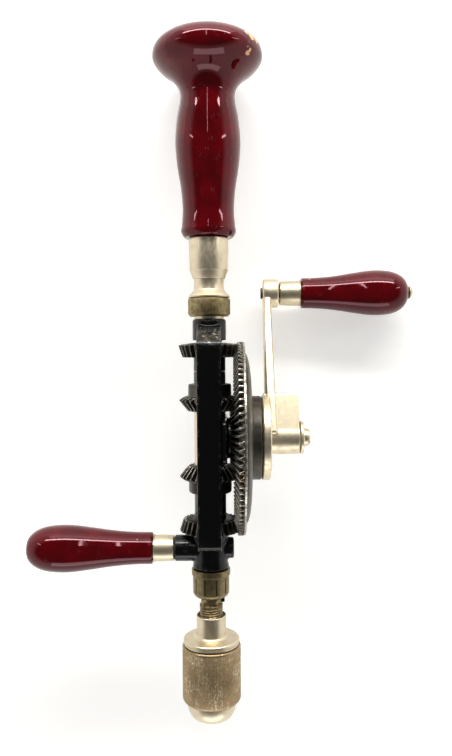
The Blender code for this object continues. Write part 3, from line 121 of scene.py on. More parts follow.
class HandleSettings(bpy.types.PropertyGroup):
    """Lacquered handles."""
    lacquer: colour("Lacquer", "Deep burgundy lacquer", "560006")
    lacquer_dark: colour("Dark lacquer", "Where the lacquer lies thicker", "400003")
    bare_wood: colour("Bare wood", "Where the lacquer is chipped off", "eac39b")
    ferrule_lip: length("Ferrule lip", "Height of the rolled lip of a ferrule", 0.0004)


class MetalSettings(bpy.types.PropertyGroup):
    """Metals and enamel."""
    nickel: colour("Nickel", "Worn warm nickel plating", "d4c7ac")
    tarnish: colour("Tarnish", "Brown bloom on the nickel", "94835f")
    enamel: colour("Enamel", "Black enamel of the casting", "020202")
    worn_metal: colour("Worn metal", "Grey iron where enamel is rubbed off", "d4d2cd")
    iron: colour("Iron", "Dark oiled iron of wheel and pinions", "504d46")
    grime: colour("Grime", "Oil in the corners of the iron", "23221d")
    brass: colour("Brass", "Aged brass of the knurled collars", "988965")
    rust: colour("Rust", "Rust brown", "5e452a")


class GearSettings(bpy.types.PropertyGroup):
    """Teeth and knurls."""
    sleeve_ridges: IntProperty(name="Sleeve ridges", description="Ridges of the chuck's knurl",
                               default=132, min=12)
    sleeve_depth: length("Sleeve ridge depth", "Depth of the chuck's knurl", 0.00014)
    collar_ridges: IntProperty(name="Collar ridges", description="Ridges of the speed collar",
                               default=84, min=12)
    collar_depth: length("Collar ridge depth", "Depth of the collar's knurl", 0.00016)
    ring_slots: IntProperty(name="Ring slots", description="Slots of the ratchet ring",
                            default=10, min=2)
    tooth_edge: length("Tooth edge", "Bevel of the teeth's worn edges", 0.0001)


class StageSettings(bpy.types.PropertyGroup):
    """Bench, lamps and camera."""
    camera_distance: length("Camera distance", "From the camera to the spindle", 0.378)
    camera_tilt: FloatProperty(name="Camera tilt", description="Lean towards the main handle",
                               subtype="ANGLE", default=math.radians(2.6))
    camera_roll: FloatProperty(name="Camera roll", description="Roll of the picture",
                               subtype="ANGLE", default=math.radians(-0.36))
    bench_tilt: FloatProperty(name="Bench tilt", description="Lean of the bench under the drill",
                              subtype="ANGLE", default=math.radians(6.57))
    lamp_power: FloatProperty(name="Lamp power", description="Power of the large lamps", default=1.0,
                              unit="POWER", min=0)


def placed_object(name, mesh):
    """Object at the origin that holds a mesh."""
    data = bpy.data.meshes.new(name)
    mesh.to_mesh(data)
    mesh.free()
    made = bpy.data.objects.new(name, data)
    bpy.context.collection.objects.link(made)
    return made


def taken(piece):
    """The mesh of a piece, which is removed."""
    data = piece.data
    mesh = bmesh.new()
    mesh.from_mesh(data)
    bpy.data.objects.remove(piece, do_unlink=True)
    bpy.data.meshes.remove(data)
    return mesh


def shape(name, mesh):
    """Object of a mesh, with its doubles merged and its faces turned out."""
    bmesh.ops.remove_doubles(mesh, verts=mesh.verts, dist=MERGE)
    bmesh.ops.recalc_face_normals(mesh, faces=mesh.faces)
    return placed_object(name, mesh)


def dressed(piece, matrix, material):
    """Lays a piece's mesh in its place, the object staying at the origin, and gives it its finish."""
    piece.data.transform(matrix)
    piece.data.materials.clear()
    piece.data.materials.append(material)
    piece.data.shade_smooth()
    piece.data.set_sharp_from_angle(angle=SMOOTH_ANGLE)
    return piece


def finished(name, mesh, matrix, material):
    """Piece of a mesh, in its place and with its finish."""
    return dressed(shape(name, mesh), matrix, material)


def evaluated(piece, kind, **values):
    """Adds one modifier to a piece and makes its result the piece's mesh."""
    modifier = piece.modifiers.new(kind.lower(), kind)
    for name, value in values.items():
        setattr(modifier, name, value)
    return applied(piece)


def applied(piece):
    """Makes the result of a piece's modifiers its mesh."""
    graph = bpy.context.evaluated_depsgraph_get()
    result = bpy.data.meshes.new_from_object(piece.evaluated_get(graph))
    piece.modifiers.clear()
    old = piece.data
    piece.data = result
    bpy.data.meshes.remove(old)
    return piece


def finish_where(piece, material, chosen):
    """Gives a material of their own to the faces whose centre is chosen."""
    piece.data.materials.append(material)
    for face in piece.data.polygons:
        if chosen(face.center):
            face.material_index = len(piece.data.materials) - 1
    return piece


def ride(piece, body, slot, *nodes):
    """The piece moves with a body and stands for the nodes, which it hides; the slot is not used."""
    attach(piece, body)
    if nodes:
        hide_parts(*nodes)
    return piece


def arc(centre, radius, start, end, steps):
    """Points of an arc in the plane of an outline, its angles in degrees."""
    points = []
    for step in range(steps + 1):
        angle = math.radians(start + (end - start) * step / steps)
        points.append((centre[0] + radius * math.cos(angle), centre[1] + radius * math.sin(angle)))
    return points


def above(base, points):
    """Points of (radius, height over a base), each followed by anything else, at their real heights."""
    return [(point[0], base + point[1], *point[2:]) for point in points]


def smoothed(stations, steps):
    """Points of a Catmull-Rom curve through the stations of an outline."""
    points = []
    for i in range(len(stations) - 1):
        run = (max(i - 1, 0), i, i + 1, min(i + 2, len(stations) - 1))
        before, here, after, beyond = [Vector(stations[k]) for k in run]
        for step in range(steps):
            t = step / steps
            bend = 2 * before - 5 * here + 4 * after - beyond
            twist = 3 * here - before - 3 * after + beyond
            point = 0.5 * (2 * here + (after - before) * t + bend * t * t + twist * t ** 3)
            points.append((max(point.x, 0), point.y))
    return points + [stations[-1]]


def lofted(rings, steps, closed=False):
    """Mesh through rings about z of (radius, height) points; a ring of one point is a tip."""
    mesh = bmesh.new()
    turns = [math.tau * i / steps for i in range(steps)]
    grid = [[mesh.verts.new((radius * math.cos(turn), radius * math.sin(turn), height))
             for (radius, height), turn in zip(ring, turns)] for ring in rings]
    pairs = list(zip(grid, grid[1:]))
    if closed:
        pairs.append((grid[-1], grid[0]))
    for low, high in pairs:
        for i in range(steps):
            j = (i + 1) % steps
            corners = [low[i % len(low)], low[j % len(low)], high[j % len(high)], high[i % len(high)]]
            unique = list(dict.fromkeys(corners))
            if len(unique) > 2:
                mesh.faces.new(unique)
    return mesh


def turned(outline, steps=ROUND_STEPS):
    """Closed mesh of an outline of (radius, height) points turned about z."""
    rings = [[point] * (steps if point[0] else 1) for point in outline]
    return lofted(rings, steps, closed=outline[0][0] > 0 or outline[-1][0] > 0)


# Kinds of node: type, inputs that add fills in order, output that it gives and fixed settings
KINDS = {
    "noise": ("ShaderNodeTexNoise", ("Vector", "Scale", "Detail", "Roughness", "Distortion"), 0, {}),
    "span": ("ShaderNodeMapRange", ("Value", "From Min", "From Max", "To Min", "To Max"), 0, {}),
    "mix": ("ShaderNodeMix", (0, 6, 7), 2, {"data_type": "RGBA"}),
    "stretch": ("ShaderNodeMapping", ("Vector", "Scale"), 0, {}),
    "bump": ("ShaderNodeBump", ("Height", "Distance", "Strength"), 0, {}),
    "axes": ("ShaderNodeSeparateXYZ", (0,), 0, {}),
    "coordinates": ("ShaderNodeTexCoord", (), 0, {}),
    "attribute": ("ShaderNodeAttribute", (), "Fac", {}),
    "rays": ("ShaderNodeLightPath", (), 0, {}),
    "emission": ("ShaderNodeEmission", ("Color", "Strength"), 0, {}),
    "both": ("ShaderNodeAddShader", (0, 1), 0, {}),
    "vector_add": ("ShaderNodeVectorMath", (0, 1), "Vector", {"operation": "ADD"}),
    "vector_subtract": ("ShaderNodeVectorMath", (0, 1), "Vector", {"operation": "SUBTRACT"}),
    "vector_scale": ("ShaderNodeVectorMath", (0, "Scale"), "Vector", {"operation": "SCALE"}),
    "distance": ("ShaderNodeVectorMath", (0, 1), "Value", {"operation": "DISTANCE"}),
    "length": ("ShaderNodeVectorMath", (0,), "Value", {"operation": "LENGTH"}),
    "source": ("NodeGroupInput", (), 0, {}),
    "result": ("NodeGroupOutput", (0,), None, {}),
    "line": ("GeometryNodeMeshLine", ("Count", "Offset"), 0, {}),
    "index": ("GeometryNodeInputIndex", (), 0, {}),
    "turn_about_z": ("ShaderNodeCombineXYZ", ("Z",), 0, {}),
    "copies": ("GeometryNodeInstanceOnPoints", ("Points", "Instance", "Rotation"), 0, {}),
    "real": ("GeometryNodeRealizeInstances", (0,), 0, {}),
    "merge": ("GeometryNodeMergeByDistance", ("Geometry", "Distance"), 0, {}),
    "material": ("GeometryNodeSetMaterial", ("Geometry", "Material"), 0, {}),
}
for sum_name in ("ADD", "SUBTRACT", "MULTIPLY", "DIVIDE", "MAXIMUM"):
    KINDS[sum_name.lower()] = ("ShaderNodeMath", (0, 1), 0, {"operation": sum_name})

# Share that each finer octave of most noises has of the one before
OCTAVE = 0.55
# Chips and rust: octaves of their ragged edge, how far it reaches, and the share that is whole
SPOT_DETAIL = 4
SPOT_SHIFT = 1.6
SPOT_CORE = 0.8
# Attribute that is one on outer edges, where the enamel is worn and a painted highlight goes along the
# edge
WORN_AND_HIGHLIT_EDGE = "worn_edge_and_painted_highlight"


def filled(tree, node, inputs):
    """Sets a node's inputs, or links them where an output of another node is given."""
    for socket, value in inputs.items():
        if isinstance(value, bpy.types.NodeSocket):
            tree.links.new(value, node.inputs[socket])
        else:
            node.inputs[socket].default_value = value


def add(tree, kind, *inputs, **settings):
    """Adds a node of a kind with its settings, fills its inputs in order and gives its output."""
    type_name, sockets, output, fixed = KINDS[kind]
    made = tree.nodes.new(type_name)
    for name, value in {**fixed, **settings}.items():
        setattr(made, name, value)
    filled(tree, made, dict(zip(sockets, inputs)))
    return None if output is None else made.outputs[output]


def copies_tree():
    """Geometry Nodes tree that turns one sector about z into a whole closed ring."""
    tree = bpy.data.node_groups.get("ring_of_sectors")
    if tree:
        return tree
    tree = bpy.data.node_groups.new("ring_of_sectors", "GeometryNodeTree")
    face = tree.interface
    face.new_socket("Geometry", in_out="INPUT", socket_type="NodeSocketGeometry")
    face.new_socket("Count", in_out="INPUT", socket_type="NodeSocketInt").default_value = 8
    gap = face.new_socket("Merge distance", in_out="INPUT", socket_type="NodeSocketFloat")
    gap.default_value = MERGE
    face.new_socket("Material", in_out="INPUT", socket_type="NodeSocketMaterial")
    face.new_socket("Geometry", in_out="OUTPUT", socket_type="NodeSocketGeometry")
    source = add(tree, "source").node.outputs
    places = add(tree, "line", source["Count"], (0, 0, 0))
    step = add(tree, "divide", math.tau, source["Count"])
    turn = add(tree, "turn_about_z", add(tree, "multiply", add(tree, "index"), step))
    real = add(tree, "real", add(tree, "copies", places, source["Geometry"], turn))
    joined = add(tree, "merge", real, source["Merge distance"])
    add(tree, "result", add(tree, "material", joined, source["Material"]))
    return tree


def ring_of(name, sector, count, matrix, material):
    """Repeats a sector about z with the tree, and lays the plain mesh in its place."""
    bmesh.ops.recalc_face_normals(sector, faces=sector.faces)
    piece = placed_object(name, sector)
    modifier = piece.modifiers.new("ring", "NODES")
    modifier.node_group = copies_tree()
    values = {"Count": count, "Merge distance": MERGE, "Material": material}
    for socket in modifier.node_group.interface.items_tree:
        if socket.name in values and socket.in_out == "INPUT":
            modifier[socket.identifier] = values[socket.name]
    return finished(name, taken(applied(piece)), matrix, material)


def rgba(colour_value):
    return (*colour_value, 1)


def finish(usual_name):
    """Makes a function of shader inputs give a material, built once for each name asked for."""
    def wrap(build):
        @functools.wraps(build)
        def material(name=usual_name, *looks):
            made = bpy.data.materials.get(name)
            if not made:
                made = bpy.data.materials.new(name)
                made.use_nodes = True
                tree = made.node_tree
                place = add(tree, "coordinates").node.outputs["Object"]
                filled(tree, tree.nodes["Principled BSDF"], build(tree, place, *looks))
            return made
        return material
    return wrap


def spots(tree, place, centres, edge):
    """Mask that is one inside a few ragged spots, each a centre and a radius in metres."""
    ragged = add(tree, "noise", place, 1 / edge, SPOT_DETAIL).node.outputs["Color"]
    centred = add(tree, "vector_subtract", ragged, (0.5, 0.5, 0.5))
    moved = add(tree, "vector_add", place, add(tree, "vector_scale", centred, SPOT_SHIFT * edge))
    mask = None
    for centre, radius in centres:
        gap = add(tree, "distance", moved, centre)
        one = add(tree, "span", gap, radius, radius * SPOT_CORE)
        mask = add(tree, "maximum", mask, one) if mask else one
    return mask


@finish("lacquered_beech")
def red_lacquer(tree, place, chips=()):
    """Burgundy spirit lacquer brushed over turned beech: deep, wet gloss, with chips to bare wood."""
    values = bpy.context.scene.drill_handles
    cloud = add(tree, "span", add(tree, "noise", place, 1 / 0.011, 4, OCTAVE), 0.35, 0.7)
    body = add(tree, "mix", cloud, rgba(values.lacquer_dark), rgba(values.lacquer))
    # Fine scratches of use, a quarter of a millimetre apart and some millimetres long
    drawn = add(tree, "stretch", place, (1, 0.06, 0.7))
    fine = add(tree, "noise", drawn, 1 / 0.00025, 1, OCTAVE)
    patch = add(tree, "span", add(tree, "noise", place, 1 / 0.007, 2, OCTAVE), 0.55, 0.68)
    scratch = add(tree, "multiply", add(tree, "span", fine, 0.66, 0.72, 0, 0.26), patch)
    skin = add(tree, "mix", scratch, body, rgba(linear("c58d93")))
    brushed = add(tree, "span", add(tree, "noise", place, 1 / 0.004, 3, OCTAVE), 0.3, 0.8, 0.02, 0.08)
    rough = add(tree, "add", brushed, add(tree, "multiply", scratch, 0.5))
    if chips:
        chipped = spots(tree, place, chips, 0.0011)
        fibres = add(tree, "noise", add(tree, "stretch", place, (1, 0.12, 1)), 1 / 0.0006, 3, OCTAVE)
        grain = add(tree, "span", fibres, 0.3, 0.7)
        wood = add(tree, "mix", grain, rgba(linear("c98f60")), rgba(values.bare_wood))
        skin = add(tree, "mix", chipped, skin, wood)
        rough = add(tree, "maximum", rough, add(tree, "multiply", chipped, 0.6))
    ripple = add(tree, "noise", place, 1 / 0.003, 2, OCTAVE)
    return {"Base Color": skin, "Roughness": rough, "IOR": 1.46,
            "Specular Tint": rgba(linear("ffc4cc")), "Normal": add(tree, "bump", ripple, 0.00002, 0.35)}


@finish("rubbed_nickel")
def worn_nickel(tree, place, stain=0.35, brightness_scale=1.0):
    """Nickel plate rubbed warm and cream by hands, with brown bloom where it has worn thin."""
    values = bpy.context.scene.drill_metals
    bloom = add(tree, "span", add(tree, "noise", place, 1 / 0.005, 8, 0.65, 0.4), 0.5, 0.75, 0, stain)
    dots = add(tree, "noise", place, 1 / 0.0006, 2, OCTAVE)
    dirty = add(tree, "maximum", bloom, add(tree, "span", dots, 0.7, 0.76, 0, 0.6 * stain))
    # A brightness scale above one paints the nickel lighter, a painted sheen
    bright = [min(channel * brightness_scale, 0.95) for channel in values.nickel]
    rub = add(tree, "noise", add(tree, "stretch", place, (1, 0.25, 1)), 1 / 0.0009, 4, OCTAVE)
    polish = add(tree, "span", rub, 0.3, 0.7, 0.3, 0.42)
    rough = add(tree, "add", polish, add(tree, "multiply", dirty, 0.4))
    return {"Base Color": add(tree, "mix", dirty, rgba(bright), rgba(values.tarnish)),
            "Roughness": rough, "Metallic": 1, "Normal": add(tree, "bump", rub, 0.00001, 0.3)}


@finish("japanned_iron")
def black_enamel(tree, place):
    """Black japan baked on grey cast iron: glossy over slow ripples, rubbed to iron in places, with a
    painted highlight along its outer edges.
    """
    values = bpy.context.scene.drill_metals
    axes = add(tree, "axes", place).node.outputs
    # The sloped shoulder that faces out of the bench is rubbed bare
    above = add(tree, "span", axes["Y"], SHOULDER_LOW - 0.0006, SHOULDER_LOW + 0.0004)
    below = add(tree, "span", axes["Y"], SHOULDER_HIGH + 0.0003, SHOULDER_HIGH - 0.0009)
    facing = add(tree, "span", axes["Z"], 0.0095, 0.0115)
    shoulder = add(tree, "multiply", add(tree, "multiply", above, below), facing)
    ragged = add(tree, "span", add(tree, "noise", place, 1 / 0.0045, 6, 0.6), 0.42, 0.54)
    rubbed_off = add(tree, "multiply", shoulder, ragged)
    # Light grey iron on the outer edges: partly enamel worn off, partly a painted highlight along the
    # edges
    rim = add(tree, "attribute", attribute_name=WORN_AND_HIGHLIT_EDGE)
    patches = add(tree, "span", add(tree, "noise", place, 1 / 0.004, 6, OCTAVE), 0.45, 0.7, 0, 0.35)
    edges = add(tree, "multiply", rim, patches)
    specks = add(tree, "span", add(tree, "noise", place, 1 / 0.0009, 2, OCTAVE), 0.76, 0.79)
    worn = add(tree, "maximum", rubbed_off, edges)
    bare = add(tree, "maximum", worn, add(tree, "multiply", specks, 0.8))
    flakes = add(tree, "span", add(tree, "noise", place, 1 / 0.0019, 6, 0.65), 0.5, 0.74)
    iron = add(tree, "mix", flakes, rgba(linear("403f3d")), rgba(values.worn_metal))
    rough = add(tree, "span", add(tree, "noise", place, 1 / 0.003, 5, OCTAVE), 0.3, 0.75, 0.12, 0.26)
    ripple = add(tree, "noise", place, 1 / 0.0022, 3, OCTAVE)
    return {"Base Color": add(tree, "mix", bare, rgba(values.enamel), iron), "Metallic": bare,
            "Roughness": add(tree, "maximum", rough, add(tree, "multiply", bare, 0.42)),
            "Specular IOR Level": 0.3, "Normal": add(tree, "bump", ripple, 0.00012, 0.5)}


@finish("dark_iron")
def dark_iron(tree, place, shine=0.4, light=1.0, rust=()):
    """Cast iron cut by a gear mill and soaked in old oil: dark, with brighter rubbed spots."""
    values = bpy.context.scene.drill_metals
    oily = add(tree, "span", add(tree, "noise", place, 1 / 0.012, 9, 0.62), 0.3, 0.62)
    grime, iron = [rgba([channel * light for channel in tint]) for tint in (values.grime, values.iron)]
    base = add(tree, "mix", oily, grime, iron)
    if rust:
        eaten = spots(tree, place, rust, 0.002)
        grains = add(tree, "noise", place, 1 / 0.0006, 4, OCTAVE)
        base = add(tree, "mix", eaten, base,
                   add(tree, "mix", grains, rgba(linear("33261a")), rgba(values.rust)))
    milled = add(tree, "noise", place, 1 / 0.0025, 5, OCTAVE)
    pits = add(tree, "noise", place, 1 / 0.0008, 3, OCTAVE)
    rough = add(tree, "span", milled, 0.3, 0.7, shine - 0.06, shine + 0.1)
    return {"Base Color": base, "Roughness": rough, "Metallic": 1,
            "Normal": add(tree, "bump", pits, 0.00003, 0.35)}


@finish("bright_edge")
def bright_edge(tree, place):
    """Iron polished by rubbing on the corners of teeth, seats and knurls."""
    worn = add(tree, "span", add(tree, "noise", place, 1 / 0.0016, 5, OCTAVE), 0.35, 0.6)
    fine = add(tree, "noise", place, 1 / 0.0007, 3, OCTAVE)
    return {"Base Color": add(tree, "mix", worn, rgba(linear("5b564c")), rgba(linear("c8c3b6"))),
            "Roughness": add(tree, "span", fine, 0.3, 0.7, 0.24, 0.4), "Metallic": 1}


@finish("olive_brass")
def aged_brass(tree, place, dull_hex="665838", brightness_scale=1.0):
    """Brass gone olive and brown, bright only where fingers turn it."""
    brass = rgba([channel * brightness_scale for channel in bpy.context.scene.drill_metals.brass])
    dull = add(tree, "span", add(tree, "noise", place, 1 / 0.0028, 6, 0.65), 0.4, 0.68)
    film = add(tree, "noise", place, 1 / 0.001, 4, OCTAVE)
    pits = add(tree, "noise", place, 1 / 0.0006, 3, OCTAVE)
    return {"Base Color": add(tree, "mix", dull, brass, rgba(linear(dull_hex))),
            "Roughness": add(tree, "span", film, 0.3, 0.7, 0.3, 0.48), "Metallic": 1,
            "Normal": add(tree, "bump", pits, 0.00003, 0.5)}


@finish("oiled_knurl")
def knurled_steel(tree, place):
    """Straight-knurled steel sleeve, brown with old oil, its plating left as pale specks."""
    flecks = add(tree, "noise", add(tree, "stretch", place, (1, 0.4, 1)), 1 / 0.0006, 5, OCTAVE)
    plated = add(tree, "span", flecks, 0.52, 0.66)
    oily = add(tree, "noise", place, 1 / 0.004, 6, OCTAVE)
    bare = add(tree, "mix", oily, rgba(linear("7a6446")), rgba(linear("b29b75")))
    worn = add(tree, "span", add(tree, "noise", place, 1 / 0.009, 2, OCTAVE), 0.4, 0.66, 0.15, 0.85)
    amount = add(tree, "multiply", plated, worn)
    return {"Base Color": add(tree, "mix", amount, bare, rgba(linear("f2e8cf"))),
            "Roughness": add(tree, "span", amount, 0, 1, 0.42, 0.26), "Metallic": 1}


@finish("turned_steel")
def bare_steel(tree, place, hex_colour="8f8b83", stain=0.3):
    """Turned tool steel with a thin film of oil and fine turning marks."""
    film = add(tree, "span", add(tree, "noise", place, 1 / 0.004, 5, OCTAVE), 0.45, 0.7, 0, stain)
    marks = add(tree, "noise", add(tree, "stretch", place, (0.2, 1, 0.2)), 1 / 0.0004, 2, OCTAVE)
    return {"Base Color": add(tree, "mix", film, rgba(linear(hex_colour)), rgba(linear("5a4226"))),
            "Roughness": add(tree, "span", marks, 0.3, 0.7, 0.26, 0.42), "Metallic": 1,
            "Normal": add(tree, "bump", marks, 0.00001, 0.5)}


@finish("rusty_steel")
def rusty_steel(tree, place):
    """Steel with a dry brown skin of rust over what is left of its finish."""
    skin = add(tree, "span", add(tree, "noise", place, 1 / 0.002, 8, 0.7), 0.38, 0.6)
    grains = add(tree, "noise", place, 1 / 0.0005, 4, OCTAVE)
    brown = add(tree, "mix", grains, rgba(linear("332208")), rgba(linear("5f4a26")))
    plate = rgba(bpy.context.scene.drill_metals.tarnish)
    return {"Base Color": add(tree, "mix", skin, plate, brown),
            "Metallic": add(tree, "subtract", 1, add(tree, "multiply", skin, 0.6)),
            "Roughness": add(tree, "span", skin, 0, 1, 0.34, 0.6),
            "Normal": add(tree, "bump", grains, 0.00005, 0.6)}


@finish("oiled_bronze")
def oiled_bronze(tree, place):
    """Cast bearing bronze, brown where the oil sits."""
    film = add(tree, "span", add(tree, "noise", place, 1 / 0.002, 5, OCTAVE), 0.4, 0.7)
    fine = add(tree, "noise", place, 1 / 0.0008, 3, OCTAVE)
    return {"Base Color": add(tree, "mix", film, rgba(linear("9a7440")), rgba(linear("4d3818"))),
            "Roughness": add(tree, "span", fine, 0.3, 0.7, 0.28, 0.42), "Metallic": 1}


def crank_nickel_painted_bright():
    """The crank's nickel, with more bloom, and its colour painted brighter than the rest as a painted
    sheen.
    """
    return worn_nickel("crank_nickel_painted_bright", 0.55, 1.14)


def pinion_iron():
    """The pinions' iron, lighter and smoother than the wheel's."""
    return dark_iron("pinion_iron", 0.36, 1.15)


# Outlines of the turned wood, as shares of length and of largest radius
MAIN_HANDLE_OUTLINE = (
    (0, 0.44), (0.01, 0.472), (0.031, 0.504), (0.062, 0.489), (0.138, 0.472), (0.232, 0.496),
    (0.327, 0.553), (0.403, 0.585), (0.479, 0.595), (0.574, 0.563), (0.65, 0.511), (0.693, 0.5),
    (0.731, 0.542), (0.769, 0.658), (0.807, 0.845), (0.845, 0.968), (0.877, 1), (0.915, 0.961),
    (0.948, 0.838), (0.972, 0.651), (0.99, 0.423), (1, 0),
)
GRIP_OUTLINE = (
    (0, 0.62), (0.012, 0.668), (0.1, 0.675), (0.22, 0.71), (0.35, 0.785), (0.48, 0.885),
    (0.6, 0.97), (0.68, 1), (0.76, 0.99), (0.84, 0.935), (0.905, 0.82), (0.955, 0.64), (0.985, 0.42),
)
CURVE_STEPS = 5
# Each handle's largest radius, the radius and length of its tenon, and its bore
MAIN_WOOD = (0.0284, (0.0082, 0.012), 0.0033)
SIDE_WOOD = (0.0124, (0.0055, 0.0099), 0.0037)
GRIP_WOOD = (0.0126, (0.0055, 0.0107), 0.0027)
# Gap that keeps a piece clear of its neighbour
WALL_GAP = 0.0003

# Ferrules: bore, radius at the far end and at the wood, and the rounding of the far end
FERRULE_BORE = 0.0058
FERRULE_RADIUS = 0.0067
FERRULE_WIDE = 0.0071
FERRULE_ROUND = 0.0004
# Socket: bore, radius in the frame's boss and in the collar, outlines over the collar, the bead's
# middle and radius, and the outline down from its top
SOCKET_BORE = 0.0045
SOCKET_STEM = 0.0069
SOCKET_BODY = 0.0077
SOCKET_NECK = (
    (0.0104, 0), (0.0108, 0.0003), (0.0109, 0.0008), (0.0084, 0.0036), (0.008, 0.0039),
    (0.0078, 0.0044), (0.0078, 0.0092), (0.0079, 0.0096), (0.0083, 0.0098), (0.0086, 0.0103),
    (0.0092, 0.0122), (0.0096, 0.0132),
)
SOCKET_BEAD = (0.0091, 0.0146, 0.00098)
SOCKET_CUP = ((0.0103, -0.0007), (0.0102, -0.0002), (0.0099, 0), (0.0085, 0), (0.0085, -0.0123),
              (SOCKET_BORE, -0.0123))

# Chips in the lacquer: centre and radius
MAIN_HANDLE_CHIPS = (
    ((0.0222, 0.3138, 0.0163), 0.0024), ((0.0246, 0.3132, 0.0128), 0.0018),
    ((0.0196, 0.3148, 0.0184), 0.0013), ((0.0195, 0.3083, 0.0182), 0.0015),
    ((0.0203, 0.3055, 0.0170), 0.0015), ((0.0212, 0.3068, 0.0170), 0.001),
    ((0.0245, 0.3135, 0.0065), 0.0009), ((0.0115, 0.3165, 0.0215), 0.0007),
    ((0.0118, 0.3092, 0.0236), 0.0009), ((-0.0185, 0.3172, 0.0118), 0.0007),
    ((0.0165, 0.2965, 0.0185), 0.0006),
    ((-0.0232, 0.3075, -0.0118), 0.0014), ((0.0042, 0.3175, -0.0178), 0.0011),
)
GRIP_CHIPS = (
    ((-0.0905, 0.0548, 0.0068), 0.0006), ((-0.0385, 0.0615, 0.0058), 0.0007),
    ((0.1062, 0.1958, -0.0182), 0.0008), ((0.0555, 0.1985, -0.0245), 0.0005),
)


def handle(name, outline, spread, radius, tenon, bore, bore_end, place, material):
    """Turned wooden handle with its tenon and a bore; a bore that ends past the top is open."""
    low, high = spread
    wood = smoothed([(radius * out, low + (high - low) * up) for up, out in outline], CURVE_STEPS)
    points = [(bore, low - tenon[1]), (tenon[0], low - tenon[1]), (tenon[0], low)] + wood
    points = points + [(bore, high)] if bore_end > high else [(0, bore_end), (bore, bore_end)] + points
    return finished(name, turned(points), place, material)


class DRILL_OT_handles(bpy.types.Operator):
    """Turns the three lacquered handles"""
    bl_idname = "drill.handles"
    bl_label = "Handles"

    def execute(self, context):
        foot = along("handle_socket")[1] + WALL_GAP
        top = along("main_handle")[1]
        bolt = along("handle_bolt")[1] + WALL_GAP
        main = handle("turned_main_handle", MAIN_HANDLE_OUTLINE, (foot, top), *MAIN_WOOD, bolt, SPINDLE,
                      red_lacquer("chipped_lacquer", MAIN_HANDLE_CHIPS))
        ride(main, "frame", "red_lacquer", "main_handle")
        start = -across("side_ferrule")[0] + WALL_GAP
        end = -across("side_handle")[0]
        stud = -across("side_stud")[0] + WALL_GAP
        grips = red_lacquer("grip_lacquer", GRIP_CHIPS)
        side = handle("turned_side_handle", GRIP_OUTLINE + ((1, 0),), (start, end), *SIDE_WOOD, stud,
                      SIDE, grips)
        ride(side, "frame", "red_lacquer", "side_handle")
        start = across("grip_ferrule")[1] + WALL_GAP
        end = across("crank_grip")[1]
        turning = handle("turned_crank_grip", GRIP_OUTLINE, (start, end), *GRIP_WOOD, end + WALL_GAP,
                         GRIP, grips)
        ride(turning, "grip", "red_lacquer", "crank_grip")
        return {"FINISHED"}


def ferrule(name, spread, place):
    """Drawn ferrule, a little wider towards the wood, with a rolled lip where the tenon goes in."""
    low, high = spread
    lip = bpy.context.scene.drill_handles.ferrule_lip
    flat = FERRULE_RADIUS - FERRULE_ROUND
    crest = FERRULE_WIDE - lip / 2
    outline = [(FERRULE_BORE, low), (flat, low)]
    outline += arc((flat, low + FERRULE_ROUND), FERRULE_ROUND, -90, 0, 4)
    outline += [((FERRULE_RADIUS + FERRULE_WIDE) / 2, (low + high) / 2), (crest, high - 2.4 * lip)]
    outline += arc((crest, high - lip), lip, -90, 90, 8) + [(FERRULE_BORE, high)]
    return finished(name, turned(outline), place, worn_nickel())


class DRILL_OT_ferrules(bpy.types.Operator):
    """Draws the plated socket of the main handle and the two ferrules"""
    bl_idname = "drill.ferrules"
    bl_label = "Socket and ferrules"

    def execute(self, context):
        low, high = across("side_ferrule")
        ride(ferrule("drawn_side_ferrule", (-high, -low), SIDE), "frame", "worn_nickel", "side_ferrule")
        grip = ferrule("drawn_grip_ferrule", across("grip_ferrule"), GRIP)
        ride(grip, "grip", "worn_nickel", "grip_ferrule")
        low, high = along("handle_socket")
        cone = along("speed_collar")[1] + WALL_GAP
        boss = along("frame_casting")[1] + WALL_GAP
        middle, rise, bead = SOCKET_BEAD
        outline = [(SOCKET_BORE, low), (SOCKET_STEM, low), (SOCKET_STEM, boss), (SOCKET_BODY, boss),
                   (SOCKET_BODY, cone)]
        outline += above(cone, SOCKET_NECK) + arc((middle, cone + rise), bead, -40, 0, 3)
        outline += above(high, SOCKET_CUP)
        socket = finished("plated_handle_socket", turned(outline), SPINDLE, worn_nickel())
        ride(socket, "frame", "worn_nickel", "handle_socket")
        return {"FINISHED"}


def prism(outline, low, high, axis="z"):
    """Outline extruded along an axis; on x it holds (y, z) points, on y (x, z) and on z (x, y)."""
    order = {"x": (2, 0, 1), "y": (0, 2, 1), "z": (0, 1, 2)}[axis]
    mesh = bmesh.new()
    ends = []
    for depth in (low, high):
        spots = [(*point, depth) for point in outline]
        ends.append([mesh.verts.new([spot[i] for i in order]) for spot in spots])
    for end in ends:
        mesh.faces.new(end)
    for i in range(len(outline)):
        mesh.faces.new((ends[0][i - 1], ends[0][i], ends[1][i], ends[1][i - 1]))
    return mesh


def rounded(corners, radius, steps=8):
    """Closed outline with each corner turned into an arc of the given radius."""
    points = []
    for i, corner in enumerate(corners):
        here = Vector(corner)
        before = (Vector(corners[i - 1]) - here).normalized()
        after = (Vector(corners[(i + 1) % len(corners)]) - here).normalized()
        half = before.angle(after) / 2
        centre = here + (before + after).normalized() * radius / math.sin(half)
        start = here + before * radius / math.tan(half) - centre
        end = here + after * radius / math.tan(half) - centre
        turn = start.angle_signed(end)
        for step in range(steps + 1):
            spun = start.copy()
            spun.rotate(Matrix.Rotation(-turn * step / steps, 2))
            points.append(tuple(centre + spun))
    return points


def rectangle(half, low, high):
    """Corners of a rectangle that lies evenly about its axis."""
    return [(-half, low), (half, low), (half, high), (-half, high)]


